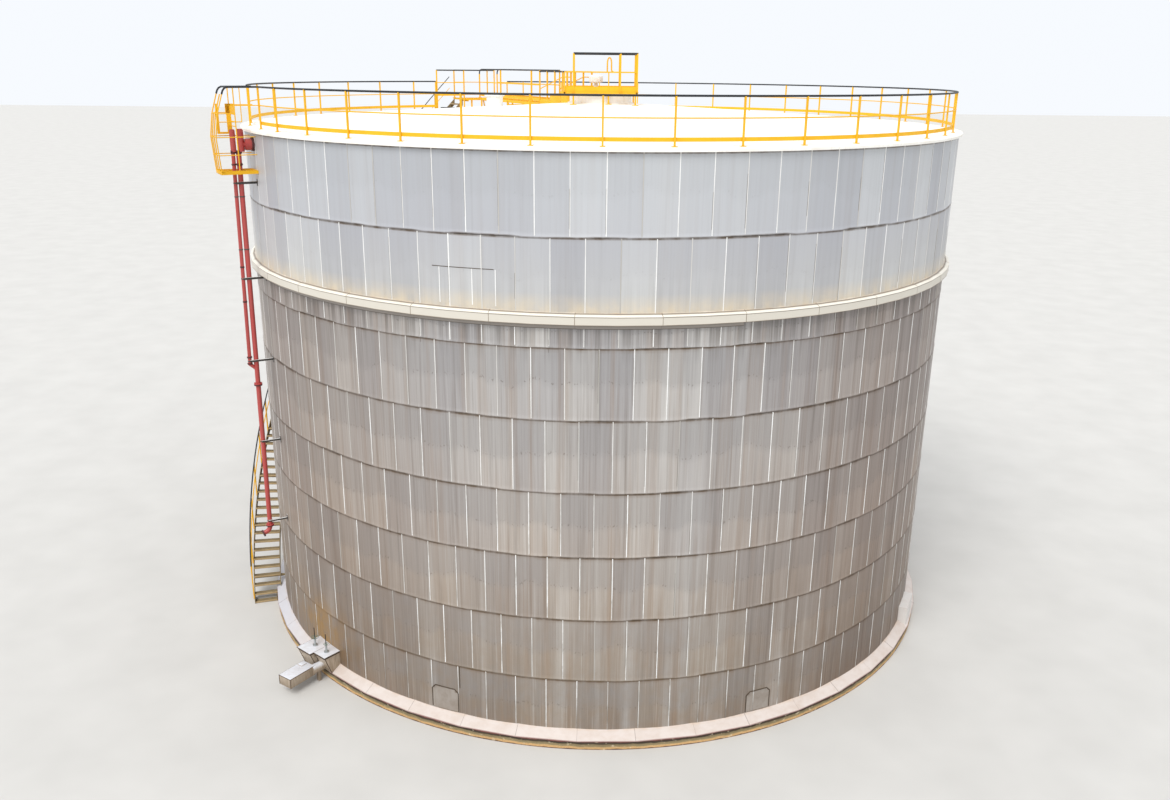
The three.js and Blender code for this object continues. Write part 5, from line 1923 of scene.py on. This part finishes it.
@dataclass
class Landing(Painted):
    """Landing over the roof's rim at the head of the stair, with its guards."""

    start: float = -149.32
    end: float = -156.71
    inside: float = 10.2
    outside: float = 11.6
    top: float = 15.29
    thickness: float = 0.06
    bars: int = 30
    rods: int = 6
    wall: float = WALL
    drop: float = 1.5
    rim: float = 10.34
    side_post: float = 10.65
    head_run: tuple[float, float] = (-142.5, -148.93)

    def build(self) -> None:
        """Builds the floor, its gussets and its guards."""
        self._floor()
        self._guards()

    def _floor(self) -> None:
        """Builds the edges, the grating, the gussets on the shell and the legs on the roof."""
        work = Metalwork()
        foot, top = self.top - self.thickness, self.top
        for near in (self.inside, self.outside - 0.045):
            work.stretch(strip(near, near + 0.045, foot, top - 0.001), self.start, self.end, 4)
        for azimuth in (self.start - 0.12, self.end + 0.12):
            work.wall_box(azimuth, 0.045, self.inside, self.outside - 0.004, foot, top - 0.002)
        for k in range(1, self.bars):
            azimuth = self.start + (self.end - self.start) * k / self.bars
            work.wall_box(azimuth, 0.006, self.inside + 0.02, self.outside - 0.02, top - 0.035,
                          top - 0.003)
        for k in range(1, self.rods):
            away = self.inside + k * (self.outside - self.inside) / self.rods
            work.stretch(strip(away, away + 0.010, top - 0.02, top - 0.005), self.start,
                         self.end, 4)
        for azimuth in (self.start - 1.2, self.end + 1.2):
            work.wall_box(azimuth, 0.03, self.wall + 0.001, self.wall + 0.05,
                          foot - self.drop, 14.73)
            for near, low, far in ((0.03, foot - self.drop + 0.03, 0.08),
                                   (0.12, foot - 0.03, 0.06)):
                work.flat_bar(spot(azimuth, self.wall + near, low),
                              spot(azimuth, self.outside - far, foot - 0.03), 0.03, 0.06)
            work.wall_box(azimuth, 0.05, self.inside + 0.05, self.inside + 0.10,
                          roof_height(self.inside) - 0.02, foot + 0.005)
        work.finish("landing_deck", self.paints.yellow, Slot.YELLOW, ("stair_landing",))

    def _guards(self) -> None:
        """Builds the guard outside and beside the landing, and the one at the stair's head."""
        rails = RailSet(self.paints)
        start, end, edge, base = self.start - 0.2, self.end + 0.2, self.outside - 0.025, self.top
        stretches = ((edge, base, (start, end)),
                     (self.rim, roof_height(self.rim), self.head_run))
        for distance, foot, places in stretches:
            for azimuth in places:
                rails.post_at(spot(azimuth, distance, foot), base + TOP_RAIL)
            rails.bent(distance, base, places, 6, (-0.005, 0.005))
        near = spot(end, self.side_post, base)
        rails.post_at(near, base + TOP_RAIL)
        rails.straight(near, spot(end, edge, base), TOP_RAIL, MID_RAIL, TOE)
        rails.finish("landing", ("landing_guardrail", "stair_head_guardrail"))


@dataclass(frozen=True)
class FootBox:
    """Sizes of one clad box, measured along the wall and out from it."""

    name: str
    node: str
    left: float
    right: float
    out: float
    stem: tuple[float, float]
    wheel: float


@dataclass
class FootBoxes(Painted):
    """Clad nozzle boxes at the foot, their valve stems, and the clad valve housing."""

    wall_point: float = -43.95
    direction: float = -39.0
    lid_top: float = 0.845
    lid: float = 0.022
    overhang: float = 0.02
    slope: float = 0.21
    foot: float = 0.255
    seam: float = 0.55
    screws: int = 6
    boxes: tuple[FootBox, ...] = (
        FootBox("nozzle_box_sheets", "nozzle_box", -0.248, 0.238, 0.548, (0.0, 0.296), 0.07),
        FootBox("small_nozzle_box_sheets", "nozzle_box_small", -0.848, -0.252, 0.678,
                (-0.531, 0.287), 0.11))
    wheel_height: float = 1.10
    stem_top: float = 1.40
    housing_near: tuple[float, float] = (-7.961, -7.896)
    housing_direction: float = -33.4
    housing_size: tuple[float, float] = (0.456, 0.861)
    housing_heights: tuple[float, float] = (0.257, 0.548)
    link: tuple[float, float, float] = (-0.125, 0.42, 0.133)
    finish: BoxFinish = BoxFinish()
    # Dark joints and edges, and the painted shadow under the lids.
    seam_finish: PaintFinish = PaintFinish(
        "dark_seams_and_shadow", (84, 68, 54), (58, 46, 36), (96, 64, 42), 0.5, 0.4, 0.8)
    wheel_finish: PaintFinish = PaintFinish(
        "green_wheels", (96, 122, 104), (66, 70, 60), (110, 66, 40), 0.5, 0.4)
    bare_finish: PaintFinish = PaintFinish(
        "bare_valve_metal", (176, 180, 180), (120, 116, 108), (110, 66, 40), 0.5, 0.4, 0.4, 0.6)

    def build(self) -> None:
        """Builds the boxes, the stems with their wheels, and the housing."""
        white, dark = self.finish.material(), self.seam_finish.material()
        matrix = Matrix.Translation(spot(self.wall_point, WALL, 0.0)) @ turned(self.direction)
        stems, wheels, valves, seams = Metalwork(), Metalwork(), Metalwork(), Metalwork()
        for box in self.boxes:
            work = Metalwork()
            self._box(work, seams, box)
            work.place(matrix)
            work.finish(box.name, white, Slot.WHITE, (box.node,))
            self._valve(box, stems, wheels, valves)
        for piece in (stems, wheels, valves, seams):
            piece.place(matrix)
        seams.finish("box_seams_and_lid_shadow", dark, Slot.WHITE)
        stems.finish("valve_stems", self.paints.black, Slot.GALVANISED)
        wheels.finish("valve_wheels", self.wheel_finish.material(), Slot.GALVANISED)
        valves.finish("valve_bonnets", self.bare_finish.material(), Slot.GALVANISED)
        self._housing(white, dark, matrix)

    def _box(self, work: Metalwork, seams: Metalwork, box: FootBox) -> None:
        """Adds one box: its sloping body, its lid with a folded edge, and its fixings.

        Args:
            work: The piece.
            seams: The piece that takes the painted shadow under the lid and the dark edges.
            box: Its sizes.
        """
        face, back = box.out - self.overhang, -0.12
        under = self.lid_top - self.lid
        left, right = box.left + self.overhang, box.right - self.overhang
        work.prism([(back, self.foot), (face - self.slope, self.foot), (face, under),
                    (back, under)], left, right)
        work.box((box.left, -box.out, under), (box.right, -back, self.lid_top - 0.001), 0.0,
                 0.004)
        # A dark band under the lid is painted shadow; the bars and the rim are its dark edges.
        shadow, proud, thin = 0.045, 0.003, 0.011
        seams.box((left - proud, -face - proud, under - shadow),
                  (right + proud, 0.0, under - 0.001))
        for x in (left, right):
            seams.bar(Vector((x, -face, under)), Vector((x, self.slope - face, self.foot)),
                      thin, 6)
        rim = [(box.left, 0.0), (box.left, -box.out), (box.right, -box.out), (box.right, 0.0)]
        seams.pipe([Vector((x, y, self.lid_top - self.lid / 2)) for x, y in rim], thin, 6)
        out = face - self.slope * (1 - self.seam) + 0.002
        height = self.foot + self.seam * (under - self.foot)
        work.flat_bar(Vector((left, -out, height)), Vector((right, -out, height)), 0.006, 0.024)
        for k in range(self.screws):
            x = box.left + (k + 0.5) * (box.right - box.left) / self.screws
            screw = Vector((x, 0.03 - box.out, self.lid_top))
            work.bar(screw - UP * 0.004, screw + UP * 0.003, 0.007, 6)

    def _valve(self, box: FootBox, stems: Metalwork, wheels: Metalwork,
               valves: Metalwork) -> None:
        """Adds a bonnet on the lid, a stem, and a handwheel.

        Args:
            box: The box that it stands on.
            stems: The piece that takes the stem.
            wheels: The piece that takes the wheel.
            valves: The piece that takes the bonnet.
        """
        foot = Vector((box.stem[0], -box.stem[1], self.lid_top))
        wheel = UP * (self.wheel_height - self.lid_top)
        stems.bar(foot, foot + UP * (self.stem_top - self.lid_top), 0.012, 10)
        valves.bar(foot, foot + UP * 0.03, 0.07, 16)
        valves.bar(foot, foot + wheel - UP * 0.05, 0.030, 12)
        wheels.wheel(foot + wheel, box.wheel - 0.006, 0.012)

    def _housing(self, white: Paint, dark: Paint, matrix: Matrix) -> None:
        """Builds the valve housing with its link pipe and support.

        Args:
            white: The clad sheet.
            dark: The dark joints.
            matrix: Where the boxes stand.
        """
        work = Metalwork()
        x, height, radius = self.link
        work.bar(Vector((x, -0.36, height)), Vector((x, -0.74, height)), radius, 28)
        for away in (0.42, 0.60):
            work.bar(Vector((x, -away, height)), Vector((x, -away - 0.03, height)),
                     radius + 0.004, 28)
        work.box((x - 0.05, -0.565, 0.0), (x + 0.05, -0.475, height), 0.0, 0.004)
        work.box((x - 0.054, -0.574, 0.0), (x + 0.054, -0.466, 0.012))
        work.place(matrix)
        body, seams = Metalwork(), Metalwork()
        (width, length), (foot, top) = self.housing_size, self.housing_heights
        half = width / 2
        body.box((-half, -length, foot), (half, 0.0, top), 0.0, 0.010)
        for y in (-length * 0.33, -length * 0.66):
            body.box((-half - 0.002, y - 0.012, foot + 0.01),
                     (half + 0.002, y + 0.012, top + 0.002), 0.0, 0.001)
        body.box((-half + 0.03, -0.24, top - 0.002), (-half + 0.20, -0.06, top + 0.02), 0.0,
                 0.004)
        rim = [(-half, 0.0), (-half, -length), (half, -length), (half, 0.0), (-half, 0.0)]
        seams.pipe([Vector((x, y, top - 0.012)) for x, y in rim], 0.010, 6)
        for x in (-half, half):
            seams.bar(Vector((x, -length, foot)), Vector((x, -length, top)), 0.008, 6)
        place = Matrix.Translation((*self.housing_near, 0.0)) @ turned(self.housing_direction)
        body.place(place)
        seams.place(place)
        mesh = bpy.data.meshes.new("housing_body")
        body.shape.to_mesh(mesh)
        body.shape.free()
        work.shape.from_mesh(mesh)
        bpy.data.meshes.remove(mesh)
        work.finish("valve_housing_sheets", white, Slot.WHITE, ("valve_housing",))
        seams.finish("valve_housing_seams", dark, Slot.WHITE)


@dataclass
class WallDetails:
    """Small things on the cladding: two removable panels and an extra lap line."""

    radius: float = WALL
    panels: tuple[tuple[float, float, float], ...] = ((-23.6, -19.4, 1.10), (22.4, 26.3, 1.04))
    panel_foot: float = 0.45
    panel_cut: float = 0.10
    extra_lap: tuple[float, float, float] = (-21.0, -12.8, 12.19)
    uprights: tuple[tuple[float, float, float], ...] = (
        (-20.05, 11.36, 12.18), (-15.64, 11.36, 12.18), (-12.6, 11.36, 12.18),
        (-18.65, 12.2, 12.93), (-14.41, 12.2, 12.93))

    finish: PaintFinish = PaintFinish(
        "panel_sheet", (158, 150, 142), (120, 104, 88), (104, 76, 54), 0.6, 0.4, 0.5, 0.2)
    seam_finish: PaintFinish = PaintFinish(
        "panel_seams", (78, 66, 52), (62, 50, 38), (90, 60, 40), 0.5, 0.4, 0.8)
    lap_finish: LapFinish = LapFinish("small_laps")

    def build(self) -> None:
        """Builds the panels and the lap lines."""
        panels, seams, laps = Metalwork(), Metalwork(), Metalwork()
        for start, end, top in self.panels:
            self._panel(panels, seams, start, end, top)
        low, high, height = self.extra_lap
        outer = self.radius + 0.006
        seams.stretch(strip(self.radius - LAP_ROOT, outer, height - 0.008, height + 0.006), low,
                      high, 6)
        for azimuth, foot, top in self.uprights:
            laps.wall_box(azimuth, 0.018, self.radius - LAP_ROOT, self.radius + 0.005, foot, top)
        seams.wall_box(-19.1, 0.02, self.radius - LAP_ROOT, self.radius + 0.0065, 1.18, 1.81)
        panels.finish("removable_panels", self.finish.material(), Slot.CLADDING)
        seams.finish("panel_seams", self.seam_finish.material(), Slot.CLADDING)
        laps.finish("small_laps", self.lap_finish.material(), Slot.CLADDING)

    def _panel(self, panels: Metalwork, seams: Metalwork, start: float, end: float,
               top: float) -> None:
        """Adds one panel with cut upper corners, and its dark edge.

        Args:
            panels: The piece that takes the panel.
            seams: The piece that takes its edge.
            start: Azimuth of its left side.
            end: Azimuth of its right side.
            top: Height of its top.
        """
        foot, near, cut = self.panel_foot, self.radius - SHEET_ROOT, self.panel_cut
        shoulder = degrees(cut / self.radius)
        panels.stretch(strip(near, self.radius + 0.004, foot, top - cut), start, end, 4)
        panels.stretch(strip(near, self.radius + 0.004, top - cut, top), start + shoulder,
                       end - shoulder, 4)
        outline = [(start, foot), (start, top - cut), (start + shoulder, top),
                   (end - shoulder, top), (end, top - cut), (end, foot)]
        for (first, low), (second, high) in zip(outline, outline[1:]):
            steps = 5 if abs(second - first) > 1.0 else 1
            for k in range(steps):
                a, b = (first + (second - first) * n / steps for n in (k, k + 1))
                c, d = (low + (high - low) * n / steps for n in (k, k + 1))
                seams.bar(spot(a, self.radius + 0.001, c), spot(b, self.radius + 0.001, d),
                          0.016, 6)


@dataclass
class RoofFittings(Painted):
    """Small fittings on the roof: the manhole and a low dark handle."""

    manhole: float = 3.26
    outline: tuple[tuple[float, float], ...] = (
        (0.0, -0.02), (0.33, -0.02), (0.33, 0.03), (0.25, 0.04), (0.25, 0.33), (0.31, 0.335),
        (0.31, 0.37), (0.302, 0.372), (0.302, 0.376), (0.31, 0.378), (0.31, 0.414),
        (0.29, 0.419), (0.0, 0.4195))
    bolts: int = 16
    handle: tuple[float, float] = (-135.7, 7.92)

    def build(self) -> None:
        """Builds the manhole with its bolted cover, and the handle."""
        work = Metalwork()
        base = roof_height(self.manhole) - 0.01
        work.disc([(out, base + up) for out, up in self.outline], 48)
        for k in range(self.bolts):
            out = spot(360.0 * k / self.bolts, 0.28, 0.0)
            work.bar(out + UP * (base + 0.32), out + UP * (base + 0.43), 0.010, 6)
        work.place(Matrix.Translation((-self.manhole, 0.0, 0.0)))
        work.finish("roof_manhole_cover", self.paints.white, Slot.WHITE, ("roof_manhole",))
        handle = Metalwork()
        azimuth, away = self.handle
        middle = spot(azimuth, away, roof_height(away) + 0.035)
        side = Vector((0.25, 0.0, 0.0))
        handle.bar(middle - side, middle + side, 0.016, 10)
        for place in (middle - side, middle + side):
            handle.bar(place, place - UP * 0.07, 0.014, 8)
        handle.bar(middle - side * 0.7 - UP * 0.07, middle - side * 0.7
                   + UP * 0.012, 0.035, 14)
        handle.finish("roof_handle", self.paints.black, Slot.YELLOW)


class Studio:
    """Camera at the photo's angle, soft light and a plain pale floor."""

    place = Vector((0.0, -32.547, 16.455))
    yaw, pitch, roll = (radians(a) for a in (-0.689, 18.084, 0.544))
    lens = 31.25
    floor_size = 400.0
    floor_drop = 0.002
    floor_dark, floor_pale = (196, 194, 190), (202, 200, 196)
    sky, sky_strength = (0.93, 0.96, 1.0, 1.0), 1.0
    sun, sun_strength, sun_width = (1.0, 0.985, 0.96), 2.2, radians(35.0)
    sun_turn = (radians(38.0), 0.0, radians(-24.0))

    def build(self) -> None:
        """Builds the camera, the lights and the floor."""
        self._camera()
        self._lights()
        self._floor()

    def _camera(self) -> None:
        """Makes the scene's camera."""
        ahead = Vector((sin(self.yaw) * cos(self.pitch),
                        cos(self.yaw) * cos(self.pitch), -sin(self.pitch)))
        right = Vector((cos(self.yaw), -sin(self.yaw), 0.0))
        up = right.cross(ahead)
        x = right * cos(self.roll) + up * sin(self.roll)
        y = up * cos(self.roll) - right * sin(self.roll)
        data = bpy.data.cameras.new("camera")
        data.lens = self.lens
        data.sensor_width = 36.0
        data.clip_end = 1000.0
        camera = bpy.data.objects.new("camera", data)
        bpy.context.scene.collection.objects.link(camera)
        turn = Matrix((x, y, -ahead)).transposed().to_4x4()
        camera.matrix_world = Matrix.Translation(self.place) @ turn
        bpy.context.scene.camera = camera

    def _lights(self) -> None:
        """Makes a pale sky and one broad soft sun."""
        world = bpy.data.worlds.new("pale_sky")
        world.use_nodes = True
        background = world.node_tree.nodes["Background"]
        background.inputs["Color"].default_value = self.sky
        background.inputs["Strength"].default_value = self.sky_strength
        bpy.context.scene.world = world
        bpy.context.scene.view_settings.view_transform = "Standard"
        sun = bpy.data.lights.new("soft_sun", "SUN")
        sun.energy, sun.angle, sun.color = self.sun_strength, self.sun_width, self.sun
        lamp = bpy.data.objects.new("soft_sun", sun)
        lamp.rotation_euler = self.sun_turn
        bpy.context.scene.collection.objects.link(lamp)

    def _floor(self) -> None:
        """Makes the plain floor."""
        work = bmesh.new()
        bmesh.ops.create_grid(work, x_segments=1, y_segments=1, size=self.floor_size)
        mesh = bpy.data.meshes.new("studio_floor")
        work.to_mesh(mesh)
        work.free()
        floor = bpy.data.objects.new("studio_floor", mesh)
        floor.location.z = -self.floor_drop
        bpy.context.scene.collection.objects.link(floor)
        sheet = NodeSheet("pale_floor", self.floor_dark)
        sheet.coat(self.floor_pale, sheet.blots((0.5, 0.5, 0.5), 2.0, 0.55, 0.0, 0.3, 0.7))
        mesh.materials.append(sheet.dress(0.95, 0.0))


def dress_kept_nodes(finishes: dict[str, Paint]) -> None:
    """Gives the solids that still show their finish.

    Args:
        finishes: The material for each solid's name.
    """
    for name, material in finishes.items():
        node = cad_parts[name]
        if node.material_slots:
            for place in range(len(node.material_slots)):
                node.material_slots[place].material = material
        else:
            node.data.materials.append(material)


def main() -> None:
    """Builds the tank's pieces in order, from the ground up, and then the studio."""
    logging.basicConfig(level=logging.INFO, format="%(name)s: %(message)s")
    paints = Paints(
        PaintFinish("yellow_paint", (236, 178, 0), (188, 138, 26), (120, 66, 30), 0.3, 0.25,
                    0.55).material(),
        PaintFinish("black_rail_paint", (14, 20, 28), (44, 46, 48), (70, 50, 40), 0.35,
                    0.2).material(),
        PaintFinish("white_sheet", (240, 238, 232), (196, 184, 166), (150, 100, 60), 0.4,
                    0.2).material())
    steel = PaintFinish("shell_steel", (120, 120, 118), (92, 84, 74), (110, 66, 40), 0.5, 0.6,
                        0.6, 0.5).material()
    hood = PaintFinish("white_hood", (218, 214, 210), (190, 176, 162), (150, 96, 60), 0.4,
                       0.2).material()
    for part in (Foundation(), KerbFlashing(), Cladding(), GirderCover(), Roof(),
                 Guardrail(paints), Stair(paints), Walkway(paints), Platform(paints), FoamLine(),
                 Balcony(paints), Landing(paints), FootBoxes(paints), WallDetails(),
                 RoofFittings(paints)):
        part.build()
    dress_kept_nodes({"bottom_plate": steel, "steel_shell": steel, "kerb_hood": hood})
    Studio().build()


if __name__ == "__main__":
    main()
